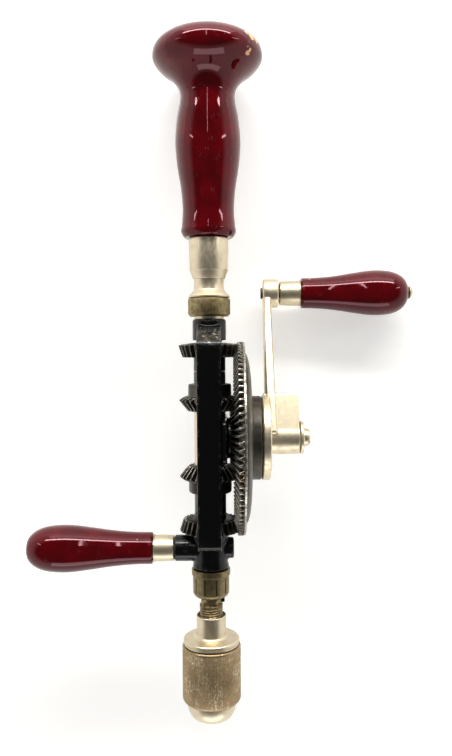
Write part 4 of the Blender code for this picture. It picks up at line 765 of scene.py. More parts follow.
def bar(radius, low, high, place=Matrix.Identity(4), steps=64):
    """Round bar from the low to the high height, as a mesh in its place."""
    mesh = turned([(0, low), (radius, low), (radius, high), (0, high)], steps)
    mesh.transform(place)
    return mesh


def combined(piece, meshes, operation):
    """Joins meshes to a piece, or cuts them out of it."""
    for mesh in meshes:
        other = shape("tool", mesh)
        evaluated(piece, "BOOLEAN", operation=operation, object=other, solver="EXACT")
        bpy.data.objects.remove(other, do_unlink=True)
    return piece


def cleared(piece):
    """Takes out the slivers of no area that cuts through a round piece leave."""
    mesh = bmesh.new()
    mesh.from_mesh(piece.data)
    bmesh.ops.remove_doubles(mesh, verts=mesh.verts, dist=MERGE)
    bmesh.ops.dissolve_degenerate(mesh, edges=mesh.edges, dist=MERGE)
    mesh.to_mesh(piece.data)
    mesh.free()
    return piece


def cast(piece, voxel, passes):
    """Rounds a piece's edges and corners as sand casting does, from voxels of the given size."""
    evaluated(piece, "REMESH", mode="VOXEL", voxel_size=voxel)
    evaluated(piece, "SMOOTH", factor=0.5, iterations=passes)
    piece.data.shade_smooth()
    return piece


# Passes that even out how a surface bends before its edges are marked
BEND_PASSES = 2


def mark_edges(piece, reach):
    """Attribute that is one on outer edges and zero on flats, from how the surface bends."""
    mesh = bmesh.new()
    mesh.from_mesh(piece.data)
    mesh.normal_update()
    bend = []
    for vertex in mesh.verts:
        around = [edge.other_vert(vertex) for edge in vertex.link_edges]
        middle = sum((other.co for other in around), Vector()) / len(around)
        size = sum((other.co - vertex.co).length for other in around) / len(around)
        bend.append((vertex.co - middle).dot(vertex.normal) / size)
    neighbours = [[edge.other_vert(vertex).index for edge in vertex.link_edges]
                  for vertex in mesh.verts]
    for _ in range(BEND_PASSES):
        bend = [(2 * bend[vertex.index] + sum(bend[near] for near in around)) / (2 + len(around))
                for vertex, around in zip(mesh.verts, neighbours)]
    mesh.free()
    layer = piece.data.attributes.new(WORN_AND_HIGHLIT_EDGE, "FLOAT", "POINT")
    layer.data.foreach_set("value", [min(max(value / reach, 0), 1) for value in bend])


# The casting's heights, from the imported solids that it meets
FRAME_LOW, FRAME_HIGH = along("frame_casting")
WINDOW_LOW = along("bottom_bush")[1]
WINDOW_HIGH = along("top_bush")[0]
SHOULDER_LOW = WINDOW_HIGH
SHOULDER_HIGH = WINDOW_HIGH + 0.0087


# Casting: half widths of the foot, the window and the shoulder, half thickness, corner radii
HALF_WIDTH = 0.022
WINDOW_HALF = 0.0175
SHOULDER_HALF = 0.0081
HALF_THICK = 0.00605
FOOT_DEPTH = 0.005
OUTER_CORNER = 0.0042
INNER_CORNER = 0.003
# Bosses at the top and the foot, over the window and under it, and the cross arm along its own axis
TOP_BOSS = 0.0088
FOOT_BOSS = 0.0098
FOOT_BOSS_NECK = (0.0091, 0.0034)
ARM_OUTLINE = ((0, -0.0192), (0.0062, -0.0192), (0.0069, -0.0185), (0.0069, 0), (0.0056, 0.0098),
               (0.0056, 0.0116), (0.0049, 0.0123), (0, 0.0123))
# Bridge: half height and half width of its plate, its two faces, and the stud's boss and bore
BRIDGE_HALF = 0.0108
BRIDGE_HALF_WIDTH = 0.0217
BRIDGE_PLATE = (0.004, 0.009)
BRIDGE_BOSS = (0.008, 0.0135)
STUD_BORE = (0.0053, 0, 0.0145)
# Bores for the gears and the bushes, and radius and ends of those for the side stud and the pin
GEAR_BORE = 0.0087
BUSH_BORE = 0.0072
ARM_BORE = (0.0037, -0.0202, 0)
PIN_BORE = (0.001, 0.0035, 0.0098)
PIN_DEPTH = 0.0012
# Size of the voxels that cast the frame, smoothing passes, and the bend that counts as a whole edge
CAST_VOXEL = 0.00045
CAST_PASSES = 3
EDGE_BEND = 0.12


class DRILL_OT_frame(bpy.types.Operator):
    """Casts the enamelled frame"""
    bl_idname = "drill.frame"
    bl_label = "Frame"

    def execute(self, context):
        foot = WINDOW_LOW - FOOT_DEPTH
        outline = rounded([(-HALF_WIDTH, foot), (HALF_WIDTH, foot), (HALF_WIDTH, WINDOW_HIGH),
                           (SHOULDER_HALF, SHOULDER_HIGH), (-SHOULDER_HALF, SHOULDER_HIGH),
                           (-HALF_WIDTH, WINDOW_HIGH)], OUTER_CORNER)
        inside = rounded(rectangle(WINDOW_HALF, WINDOW_LOW, WINDOW_HIGH), INNER_CORNER)
        low = WHEEL_AXIS - BRIDGE_HALF
        high = WHEEL_AXIS + BRIDGE_HALF
        plate = rounded(rectangle(BRIDGE_HALF_WIDTH, low, high), INNER_CORNER)
        wheel_line = Matrix.Translation((0, 0, WHEEL_AXIS)) @ Matrix.Rotation(math.pi / 2, 4, "Y")
        arm_line = Matrix.Translation((0, 0, SIDE_AXIS)) @ Matrix.Rotation(math.pi / 2, 4, "Y")
        pin_height = Matrix.Translation((0, 0, FRAME_HIGH - PIN_DEPTH))
        pin_line = pin_height @ Matrix.Rotation(-math.pi / 2, 4, "X")
        bevel = TOP_BOSS - SHOULDER_HALF
        top = turned([(0, WINDOW_HIGH + PAST), (TOP_BOSS, WINDOW_HIGH + PAST),
                      (TOP_BOSS, FRAME_HIGH - bevel), (SHOULDER_HALF, FRAME_HIGH), (0, FRAME_HIGH)], 64)
        neck, rise = FOOT_BOSS_NECK
        lower = turned([(0, FRAME_LOW), (FOOT_BOSS, FRAME_LOW), (neck, FRAME_LOW + rise),
                        (neck, WINDOW_LOW - PAST), (0, WINDOW_LOW - PAST)], 64)
        arm = turned(ARM_OUTLINE, 64)
        arm.transform(arm_line)
        casting = shape("cast_frame", prism(outline, -HALF_THICK, HALF_THICK, "x"))
        combined(casting, [top, lower, arm], "UNION")
        combined(casting, [prism(inside, -2 * HALF_THICK, 2 * HALF_THICK, "x")], "DIFFERENCE")
        bridge = shape("bridge", prism(plate, *BRIDGE_PLATE, "x"))
        combined(bridge, [bar(BRIDGE_HALF, *BRIDGE_BOSS, wheel_line)], "UNION")
        combined(bridge, [bar(GEAR_BORE, low - PAST, high + PAST), bar(*STUD_BORE, wheel_line)],
                 "DIFFERENCE")
        combined(casting, [bar(BUSH_BORE, FRAME_LOW - PAST, FRAME_HIGH + PAST),
                           bar(*ARM_BORE, arm_line), bar(*PIN_BORE, pin_line)], "DIFFERENCE")
        # The bridge and the casting overlap, and the voxels of cast make them one
        whole = taken(bridge)
        whole.from_mesh(casting.data)
        whole.to_mesh(casting.data)
        whole.free()
        cast(casting, CAST_VOXEL, CAST_PASSES)
        casting.data.transform(SPINDLE)
        mark_edges(casting, EDGE_BEND)
        casting.data.materials.clear()
        casting.data.materials.append(black_enamel())
        ride(casting, "frame", "black_enamel", "frame_casting")
        return {"FINISHED"}


DEDENDUM = 0.0013
FLANK_STEPS = 4
# Width beyond the roots at which a wheel's rim is rubbed, and the bend that stays sharp in shading
RIM_STEP = 0.0004
BEVEL_ANGLE = math.radians(50)


class BevelGear:
    """Straight bevel gear about z with its cones meeting at the origin, drawn on its back cone."""

    def __init__(self, teeth, mate_teeth):
        self.teeth = teeth
        self.pitch_angle = math.atan2(teeth, mate_teeth)
        self.cone_distance = MODULE * teeth / 2 / math.sin(self.pitch_angle)
        self.virtual_radius = MODULE * teeth / 2 / math.cos(self.pitch_angle)
        self.root = self.virtual_radius - DEDENDUM
        self.tip = self.virtual_radius + MODULE

    def half_thickness(self, radius):
        """Half of the tooth's angle about the gear's axis, at a radius on the back cone."""
        base = self.virtual_radius * math.cos(PRESSURE_ANGLE)
        pressure = math.acos(base / max(radius, base))
        involute = math.tan(pressure) - pressure
        pitch_involute = math.tan(PRESSURE_ANGLE) - PRESSURE_ANGLE
        pitch_half = math.pi / 2 * math.cos(self.pitch_angle) / self.teeth
        thinning = TOOTH_THINNING / 2 / self.virtual_radius
        return (pitch_half - thinning + pitch_involute - involute) / math.cos(self.pitch_angle)

    def place(self, radius, scale):
        """Real radius and height of a point on the back cone, drawn in towards the apex."""
        out = radius * math.cos(self.pitch_angle)
        up = self.cone_distance / math.cos(self.pitch_angle) - radius * math.sin(self.pitch_angle)
        return out * scale, up * scale

    def profile(self, scale):
        """One tooth over one pitch, from the middle of a gap to the middle of the next."""
        half_pitch = math.pi / self.teeth
        rise = (self.tip - self.root) / FLANK_STEPS
        flank = [self.root + rise * step for step in range(FLANK_STEPS)] + [self.tip]
        turns = [(-half_pitch, self.root), (-self.half_thickness(self.root), self.root)]
        turns += [(-self.half_thickness(radius), radius) for radius in flank[1:]]
        turns += [(self.half_thickness(radius), radius) for radius in flank[:0:-1]]
        turns += [(self.half_thickness(self.root), self.root), (half_pitch, self.root)]
        points = []
        for angle, radius in turns:
            out, up = self.place(radius, scale)
            points.append((out * math.cos(angle), out * math.sin(angle), up))
        return points

    def sector(self, big_scale, small_scale, section, first_angle):
        """One tooth with the wedge of the body behind it, open at its two sides."""
        mesh = bmesh.new()
        half_pitch = math.pi / self.teeth
        turn = Matrix.Rotation(first_angle, 3, "Z")
        big, small = [[mesh.verts.new(turn @ Vector(point)) for point in self.profile(scale)]
                      for scale in (big_scale, small_scale)]
        rays = [turn @ Vector((math.cos(angle), math.sin(angle), 0))
                for angle in (-half_pitch, 0, half_pitch)]
        rings = [[mesh.verts.new((radius * ray.x, radius * ray.y, height)) for ray in rays]
                 for radius, height in section]
        for i in range(len(big) - 1):
            mesh.faces.new((big[i], big[i + 1], small[i + 1], small[i]))
        for teeth, ring in ((big, rings[0]), (small, rings[-1])):
            middle = len(teeth) // 2
            mesh.faces.new(teeth[:middle] + [ring[1], ring[0]])
            mesh.faces.new(teeth[middle - 1:middle + 1] + [ring[1]])
            mesh.faces.new(teeth[middle:] + [ring[2], ring[1]])
        for low, high in zip(rings, rings[1:]):
            for i in (0, 1):
                mesh.faces.new((low[i], low[i + 1], high[i + 1], high[i]))
        return mesh


OUTER_PINION = BevelGear(PINION_TEETH, OUTER_TEETH)
INNER_PINION = BevelGear(PINION_TEETH, INNER_TEETH)
OUTER_RING = BevelGear(OUTER_TEETH, PINION_TEETH)
INNER_RING = BevelGear(INNER_TEETH, PINION_TEETH)
# Length of the outer and the inner teeth along their cones, and how far the wheel's teeth run past
OUTER_FACE = 0.0066
INNER_FACE = 0.0073
FACE_PAST = 0.0012
OUTER_SMALL = 1 - OUTER_FACE / OUTER_RING.cone_distance
INNER_SMALL = 1 - INNER_FACE / INNER_RING.cone_distance
OUTER_BIG = 1 + FACE_PAST / OUTER_RING.cone_distance


def gear_piece(name, gear, big, small, section, first_angle, place, iron, bevel):
    """Whole gear from one sector, its outer corners rubbed bright."""
    piece = ring_of(name, gear.sector(big, small, section, first_angle), gear.teeth, place, iron)
    roots = gear.place(gear.root, big)[0]
    rim_worn(piece, place, roots + RIM_STEP if section[0][0] > roots else math.inf)
    return rubbed(piece, bevel)


def rim_worn(piece, place, radius):
    """Rubs bright the rim and the outer ends of its teeth, past a radius from the axle."""
    back = place.inverted()
    return finish_where(piece, bright_edge(), lambda centre: (back @ centre).xy.length > radius)


def rubbed(piece, width):
    """Bevels the outer corners of a piece and gives the new faces its second material."""
    mesh = bmesh.new()
    mesh.from_mesh(piece.data)
    weight = mesh.edges.layers.float.new("bevel_weight_edge")
    for edge in mesh.edges:
        if len(edge.link_faces) == 2 and edge.calc_face_angle_signed(0) > SMOOTH_ANGLE:
            edge[weight] = 1
    mesh.to_mesh(piece.data)
    mesh.free()
    evaluated(piece, "BEVEL", width=width, segments=2, limit_method="WEIGHT", material=1)
    piece.data.shade_smooth()
    piece.data.set_sharp_from_angle(angle=BEVEL_ANGLE)
    return piece


# Pinions: radius inside the outer one's teeth, bore, and the wider bore that lets the key pass
PINION_SLEEVE = 0.0083
PINION_BORE = 0.00566
KEY_WAY = 0.0069
# Depth from the outer teeth's front to where an outer and an inner pinion meet
STUBS = {"top": 0.0072, "bottom": 0.0024}
OUTER_PINION_END = 0.00095
KEY_STEP = 0.0103
# Inner pinion over its teeth's roots: start and height of the hub, and the hub's outline
HUB_START = 0.0007
PINION_HUB = 0.0064
HUB_FOOT = ((0.0123, 0), (0.0115, 0.0002), (0.0113, 0.0006))
HUB_ROUND = 0.001
# Spacer sleeve: bore, radius and the rounding of its ends
SPACER = (0.0059, 0.0082, 0.0002)


class DRILL_OT_pinions(bpy.types.Operator):
    """Cuts the four bevel pinions and the spacer sleeve between them"""
    bl_idname = "drill.pinions"
    bl_label = "Pinions"

    def execute(self, context):
        edge = context.scene.drill_gears.tooth_edge
        sleeve = PINION_SLEEVE
        bore = PINION_BORE
        for side, turn in (("top", 0), ("bottom", math.pi)):
            place = SPINDLE @ Matrix.Translation((0, 0, WHEEL_AXIS)) @ Matrix.Rotation(turn, 4, "X")
            front = OUTER_PINION.place(OUTER_PINION.tip, OUTER_SMALL)[1]
            inner_front = INNER_PINION.place(INNER_PINION.tip, INNER_SMALL)[1]
            meeting = front - STUBS[side]
            end = MODULE * OUTER_TEETH / 2 + OUTER_PINION_END
            back = INNER_PINION.place(INNER_PINION.root, 1)[1] + HUB_START
            hub_end = back + PINION_HUB
            way = KEY_WAY if side == "bottom" else bore
            section = [(sleeve, end), (way, end), (way, meeting), (sleeve, meeting), (sleeve, front)]
            outer = gear_piece(f"milled_outer_pinion_{side}", OUTER_PINION, 1, OUTER_SMALL, section, 0,
                               place, pinion_iron(), edge)
            ride(outer, f"outer_pinion_{side}", "dark_steel", f"outer_pinion_{side}")
            section = above(back, HUB_FOOT)
            section += arc((section[-1][0] - HUB_ROUND, hub_end - HUB_ROUND), HUB_ROUND, 0, 90, 4)
            section += [(sleeve + WALL_GAP, hub_end), (sleeve, hub_end + WALL_GAP)]
            gap = meeting - WALL_GAP
            section += [(sleeve, gap)]
            if side == "bottom":
                step = front - KEY_STEP
                section += [(way, gap), (way, step), (bore, step)]
            else:
                section += [(bore, gap)]
            section += [(bore, inner_front), (sleeve, inner_front)]
            inner = gear_piece(f"milled_inner_pinion_{side}", INNER_PINION, 1, INNER_SMALL, section, 0,
                               place, pinion_iron(), edge)
            ride(inner, f"inner_pinion_{side}", "dark_steel", f"inner_pinion_{side}")
        low, high = along("spacer_sleeve")
        bore, outer, ease = SPACER
        tube = [(bore, low), (outer - ease, low), (outer, low + ease), (outer, high - ease),
                (outer - ease, high), (bore, high)]
        nickel = worn_nickel("sleeve_nickel", 0.15)
        spacer = finished("bright_spacer_sleeve", turned(tube), SPINDLE, nickel)
        ride(spacer, "spindle", "worn_nickel", "spacer_sleeve")
        return {"FINISHED"}


# The wheel's rim: past the outer teeth's pitch circle, thickness, and width of its flat
RIM_PAST = 0.00135
RIM_THICK = 0.0012
RIM_WIDTH = 0.0056
# The wheel's dome: radius where it starts to fall, its height over the rim and its facets
DOME_RADIUS = 0.028
DOME_RISE = 0.0033
DOME_STEPS = 12
# The boss over the dome and the hub under the web, and the inner ring's bore and depth in the web
BOSS_RISE = 0.0051
BOSS_FOOT = ((0.0232, 0), (0.0224, 0.0002), (0.022, 0.0008))
BOSS_TOP = ((0.022, -0.0006), (0.0218, -0.0002), (0.0214, 0), (0.0053, 0))
HUB_DROP = 0.003
HUB_UNDER = ((0.0053, 0), (0.0123, 0), (0.0126, 0.0003))
RING_BORE = 0.012
RING_SINK = 0.0006
# Rust on the wheel's rim: centre and radius
WHEEL_RUST = (((0.0165, 0.1002, 0.0478), 0.004), ((0.0178, 0.1285, 0.0462), 0.002),
              ((0.0195, 0.098, -0.038), 0.003), ((0.021, 0.146, 0.012), 0.0018))


class DRILL_OT_wheel(bpy.types.Operator):
    """Casts the domed drive wheel and mills its two rings of teeth"""
    bl_idname = "drill.wheel"
    bl_label = "Drive wheel"

    def execute(self, context):
        edge = context.scene.drill_gears.tooth_edge
        rim = MODULE * OUTER_TEETH / 2 + RIM_PAST
        front = OUTER_RING.place(OUTER_RING.root, OUTER_BIG)[1] + WALL_GAP / 2
        back = front + RIM_THICK
        dome = back + DOME_RISE
        boss = dome + BOSS_RISE
        hub = front - HUB_DROP
        shoulder = rim - RIM_WIDTH
        inner_edge = OUTER_RING.place(OUTER_RING.root, OUTER_SMALL)[0] - WALL_GAP
        section = [(rim, front + 0.0002), (rim, back - 0.0003), (rim - 0.0001, back - 0.0001),
                   (rim - 0.0003, back), (shoulder + 0.0008, back), (shoulder + 0.0002, back + 0.00012)]
        for step in range(1, DOME_STEPS + 1):
            turn = math.pi / 2 * step / DOME_STEPS
            inset = (shoulder - DOME_RADIUS) * (1 - math.cos(turn))
            section.append((shoulder - inset, back + DOME_RISE * math.sin(turn)))
        section += above(dome, BOSS_FOOT) + above(boss, BOSS_TOP) + above(hub, HUB_UNDER)
        section += [(HUB_UNDER[-1][0], front), (inner_edge, front)]
        iron = dark_iron("wheel_iron", 0.42, 1.0, WHEEL_RUST)
        wheel = gear_piece("milled_drive_wheel", OUTER_RING, OUTER_BIG, OUTER_SMALL, section,
                           math.pi / OUTER_TEETH, AXLE, iron, edge)
        ride(wheel, "wheel", "dark_steel", "drive_wheel")
        base = front + RING_SINK
        section = [(INNER_RING.place(INNER_RING.root, 1)[0], base), (RING_BORE, base),
                   (RING_BORE, INNER_RING.place(INNER_RING.root, INNER_SMALL)[1])]
        ring = gear_piece("milled_inner_ring", INNER_RING, 1, INNER_SMALL, section,
                          math.pi / INNER_TEETH, AXLE, iron, edge)
        ride(ring, "wheel", "dark_steel")
        return {"FINISHED"}


# Crank, along the wheel's axle from the face that lies on the wheel: disc, hub, web and arm
CRANK_BACK = 0.0201
DISC_THICK = 0.0045
HUB_HEIGHT = 0.0156
CRANK_EDGE = 0.0006
DISC_RADIUS = 0.0222
HUB_RADIUS = 0.0087
WEB_SIZE = (0.0223, 0.0084)
ARM_SECTION = ((0, 0.0295), (CRANK_RADIUS, 0.0295), (CRANK_RADIUS, 0.0334), (0.0271, 0.0344), (0, 0.035))
ARM_PLAN = ((0, -0.01), (CRANK_RADIUS, -0.00625), (CRANK_RADIUS, 0.00625), (0, 0.01))
ARM_REACH = 0.02
ARM_CORNER = 0.0012
EYE_LOW = 0.02935
EYE_HEIGHT = 0.0087
EYE_RADIUS = 0.008
# Bores of the hub, the eye and the drive pins, how far those lie from the axle, and the voxels
# and smoothing passes that round the forging
HUB_BORE = 0.00535
EYE_BORE = 0.0028
PIN_HOLE = 0.0021
PIN_PLACE = 0.0155
FORGE_VOXEL = 0.0004
FORGE_PASSES = 2
# Washer and screw: outlines up from a low face and down from a top; the slot's reach, sides and depth
WASHER_LOW = ((0.0027, 0), (0.0085, 0), (0.00865, 0.0002))
WASHER_HIGH = ((0.00865, -0.0004), (0.0083, 0), (0.0027, 0))
SCREW_HEAD = 0.0034
SCREW_RADIUS = 0.0047
SCREW_SHANK = ((0.0024, 0), (0.0045, 0), (SCREW_RADIUS, 0.0002))
SCREW_CROWN = 0.00335
SCREW_TOP = ((0.0030, -0.00012), (0.0018, -0.00003), (0, 0))
SCREW_SLOT = (0.0006, -0.006, 0.006, 0.0012)
SLOT_TURN = math.radians(28)
# The grip's pin: outline up from its dark head to its shank, and the rivet's cap
RIVET_CAP = 0.0023
RIVET_FOOT = ((0, 0), (0.0028, 0), (0.0031, 0.0003), (0.0031, 0.0009), (0.0025, 0.0009))
RIVET_SHOULDER = ((0.0025, 0), (0.0034, 0), (0.0036, 0.0002))
RIVET_DOME = (0.0036, 0.0021)


class DRILL_OT_crank(bpy.types.Operator):
    """Forges the plated crank with its disc, hub, web and arm, and what holds it on"""
    bl_idname = "drill.crank"
    bl_label = "Crank"

    def execute(self, context):
        base = across("wheel_stud")[1] - CRANK_BACK
        disc_top = base + DISC_THICK
        end = disc_top + HUB_HEIGHT
        edge = CRANK_EDGE
        disc = turned([(0, base), (DISC_RADIUS - edge, base), (DISC_RADIUS, base + edge),
                       (DISC_RADIUS, disc_top - edge), (DISC_RADIUS - edge, disc_top), (0, disc_top)], 96)
        crank = shape("forged_crank", disc)
        hub = turned([(0, base + edge), (HUB_RADIUS, base + edge), (HUB_RADIUS, end - edge),
                      (HUB_RADIUS - 0.0004, end - 0.0001), (HUB_RADIUS - edge, end), (0, end)], 64)
        length_out, half = WEB_SIZE
        web = prism(rounded([(0, -half), (length_out, -half), (length_out, half), (0, half)], 2 * edge),
                    base + 2 * edge, end - edge)
        arm = shape("arm", prism(ARM_SECTION, -ARM_REACH, ARM_REACH, "y"))
        combined(arm, [prism(ARM_PLAN, 0, end)], "INTERSECT")
        evaluated(arm, "BEVEL", width=ARM_CORNER, segments=4, limit_method="ANGLE",
                  angle_limit=SMOOTH_ANGLE)
        blade = taken(arm)
        eye_high = EYE_LOW + EYE_HEIGHT
        eye = turned([(0, EYE_LOW), (EYE_RADIUS - edge, EYE_LOW), (EYE_RADIUS, EYE_LOW + edge),
                      (EYE_RADIUS, eye_high - edge), (EYE_RADIUS - edge, eye_high), (0, eye_high)], 64)
        eye_line = Matrix.Translation((CRANK_RADIUS, 0, 0))
        eye.transform(eye_line)
        combined(crank, [hub, web, blade, eye], "UNION")
        pins = [Matrix.Translation((0, side * PIN_PLACE, 0)) for side in (-1, 1)]
        holes = [bar(HUB_BORE, 0, end + PAST), bar(EYE_BORE, 0, eye_high + PAST, eye_line)]
        holes += [bar(PIN_HOLE, base - PAST, disc_top + PAST, pin) for pin in pins]
        combined(crank, holes, "DIFFERENCE")
        cast(crank, FORGE_VOXEL, FORGE_PASSES)
        crank.data.transform(CRANK)
        crank.data.materials.clear()
        crank.data.materials.append(crank_nickel_painted_bright())
        ride(crank, "wheel", "worn_nickel", "crank")
        for index, pin in enumerate(pins, 1):
            low, high = across(f"drive_pin_{index}")
            head = [(0, low), (0.0018, low), (0.0018, high - 0.0003), (0.0015, high), (0, high)]
            piece = finished(f"driven_pin_{index}", turned(head, 32), CRANK @ pin, bare_steel())
            ride(piece, "wheel", "worn_nickel", f"drive_pin_{index}")
        self.fasteners()
        return {"FINISHED"}

    def fasteners(self):
        """Washer, slotted screw and the riveted pin of the turning grip."""
        low, high = across("crank_washer")
        ring = above(low, WASHER_LOW) + above(high, WASHER_HIGH)
        washer = finished("stamped_washer", turned(ring), AXLE, crank_nickel_painted_bright())
        ride(washer, "frame", "worn_nickel", "crank_washer")
        low, high = across("crank_screw")
        head = high - SCREW_HEAD
        outline = [(0, low), (SCREW_SHANK[0][0], low)] + above(head, SCREW_SHANK)
        outline += [(SCREW_RADIUS * math.cos(t / 2), head + SCREW_HEAD * math.sin(t)) for t in
                    [math.pi / 2 * step / 10 for step in range(1, 10)]]
        outline = [point for point in outline if point[0] > SCREW_CROWN or point[1] <= head]
        screw = shape("slotted_screw", turned(outline + above(high, SCREW_TOP)))
        half, start, end, depth = SCREW_SLOT
        slot = prism(rectangle(half, start, end), high - depth, high + PAST)
        slot.transform(Matrix.Rotation(SLOT_TURN, 4, "Z"))
        combined(screw, [slot], "DIFFERENCE")
        dressed(screw, AXLE, crank_nickel_painted_bright())
        ride(screw, "frame", "worn_nickel", "crank_screw")
        low, high = across("crank_pin")
        cap = high - RIVET_CAP
        outline = above(low, RIVET_FOOT) + above(cap, RIVET_SHOULDER)
        wide, tall = RIVET_DOME
        outline += [(wide * math.cos(t), high - tall + tall * math.sin(t)) for t in
                    [math.pi / 2 * step / 8 for step in range(1, 8)]] + [(0, high)]
        steel = bare_steel("dark_pin_steel", "4c4840")
        pin = finished("riveted_crank_pin", turned(outline, 48), GRIP, steel)
        middle = (low + high) / 2
        finish_where(pin, worn_nickel(), lambda centre: centre.x > middle)
        ride(pin, "wheel", "worn_nickel", "crank_pin")


def sector_of(rows, columns):
    """Wedge of a ring: rows of (radius, height, depth), columns of (angle, share of the depth)."""
    mesh = bmesh.new()
    grid = [[mesh.verts.new(((radius - depth * share) * math.cos(angle),
                             (radius - depth * share) * math.sin(angle), height))
             for angle, share in columns] for radius, height, depth in rows]
    for low, high in zip(grid, grid[1:] + grid[:1]):
        for i in range(len(columns) - 1):
            mesh.faces.new((low[i], low[i + 1], high[i + 1], high[i]))
    return mesh


def ridges(count):
    """Columns of one pointed ridge."""
    half = math.pi / count
    return [(-half, 1), (-0.45 * half, 0.35), (0, 0), (0.45 * half, 0.35), (half, 1)]


# Speed collar: radius and ends of its knurl, and rows of (radius, height, depth) at both ends
COLLAR_RADIUS = 0.011
COLLAR_KNURL = (0.0013, -0.0008)
COLLAR_FOOT = ((0.008, 0, 0), (0.0098, 0, 0), (0.0101, 0.0002, 0), (0.0108, 0.0009, 0))
COLLAR_TOP = ((0.0107, -0.0002, 0), (0.0104, 0, 0), (0.008, 0, 0))
# Ratchet ring: rows up from its foot, about its seat and down from its top, then its bore's floor
SLOT_DEPTH = 0.0008
SLOT_HALF = 0.00035
RING_RADIUS = 0.0096
RING_SEAT = 0.0036
RING_FLOOR = 0.0016
RING_FOOT = ((0.0059, 0, 0), (0.0077, 0, 0), (0.0083, 0.0002, 0), (0.009, 0.0009, 0), (0.0095, 0.0018, 0),
             (RING_RADIUS, 0.0026, 0), (RING_RADIUS, 0.0026, SLOT_DEPTH))
RING_BAND = ((RING_RADIUS, -0.0006, SLOT_DEPTH), (RING_RADIUS, -0.0006, 0), (RING_RADIUS, -0.0001, 0),
             (0.0099, 0.0002, 0), (0.0102, 0.0004, 0), (0.01026, 0.0008, 0))
RING_TOP = ((0.01026, -0.0005, 0), (0.0101, -0.0001, 0), (0.0098, 0, 0), (0.008, 0, 0))
RING_CAVITY = ((0.008, 0, 0), (0.0059, 0, 0))


class DRILL_OT_collars(bpy.types.Operator):
    """Knurls the speed collar and slots the ratchet ring"""
    bl_idname = "drill.collars"
    bl_label = "Speed collar and ratchet ring"

    def execute(self, context):
        gears = context.scene.drill_gears
        low, high = along("speed_collar")
        start, end = COLLAR_KNURL
        rows = above(low, COLLAR_FOOT) + [(COLLAR_RADIUS, low + start, gears.collar_depth),
                                          (COLLAR_RADIUS, high + end, gears.collar_depth)]
        rows += above(high, COLLAR_TOP)
        sector = sector_of(rows, ridges(gears.collar_ridges))
        collar = ring_of("knurled_speed_collar", sector, gears.collar_ridges, SPINDLE, aged_brass())
        ride(collar, "speed_collar", "aged_brass", "speed_collar")
        low, high = along("ratchet_ring")
        rows = (above(low, RING_FOOT) + above(high - RING_SEAT, RING_BAND) + above(high, RING_TOP)
                + above(low + RING_FLOOR, RING_CAVITY))
        half = math.pi / gears.ring_slots
        width = SLOT_HALF / RING_RADIUS
        plain = [(-half + (half - width) * step / 6, 0) for step in range(7)]
        columns = plain + [(-width, 1), (width, 1)] + [(-angle, 0) for angle, _ in plain[::-1]]
        sector = sector_of(rows, columns)
        brass = aged_brass("ratchet_brass", "65583f", 0.75)
        ring = ring_of("slotted_ratchet_ring", sector, gears.ring_slots, SPINDLE, brass)
        ride(ring, "ratchet_ring", "aged_brass", "ratchet_ring")
        return {"FINISHED"}


def threaded(radius, depth, pitch, low, high):
    """Rings of a rod with a single-start thread whose ridges fade out at both ends."""
    rings = []
    steps = SPINDLE_STEPS
    count = round((high - low) / pitch * ROWS_A_TURN)
    for k in range(count + 1):
        height = low + (high - low) * k / count
        fade = min(1, (height - low) / pitch, (high - height) / pitch)
        ring = []
        for i in range(steps):
            phase = (height / pitch - i / steps) % 1
            cut_in = depth * max(fade, 0) * abs(2 * phase - 1)
            ring.append((radius - cut_in, height))
        rings.append(ring)
    return rings


# Rows of facets in one turn of the thread
ROWS_A_TURN = 8
# Spindle: radius and bore, and how far its thread runs over the chuck and its bore under the key
SPINDLE_STEPS = 64
SPINDLE_RADIUS = 0.0055
SPINDLE_BORE = 0.0023
THREAD_OVER_CHUCK = 0.0055
BORE_UNDER_KEY = 0.005
# Thread: radius over its ridges, their depth, the pitch, and the end's bevel
THREAD_RADIUS = 0.0062
THREAD_DEPTH = 0.0006
THREAD_PITCH = 0.0013
THREAD_BEVEL = (0.0058, 0.0003)
THREAD_RUNOUT = ((0.0061, 0.0001), (SPINDLE_RADIUS, 0.0007))
# Slot of the key: reach each way and its two sides, and the key's travel with room at its end;
# hole and pin across the spindle: radius with the hole's ends, and radius with the pin's bevel
KEY_SLOT = (0.0066, -0.00135, 0.00135)
KEY_TRAVEL = 0.0103
CROSS_HOLE = (0.0015, -0.0065, 0.0065)
CROSS_PIN = (0.0012, 0.0003)


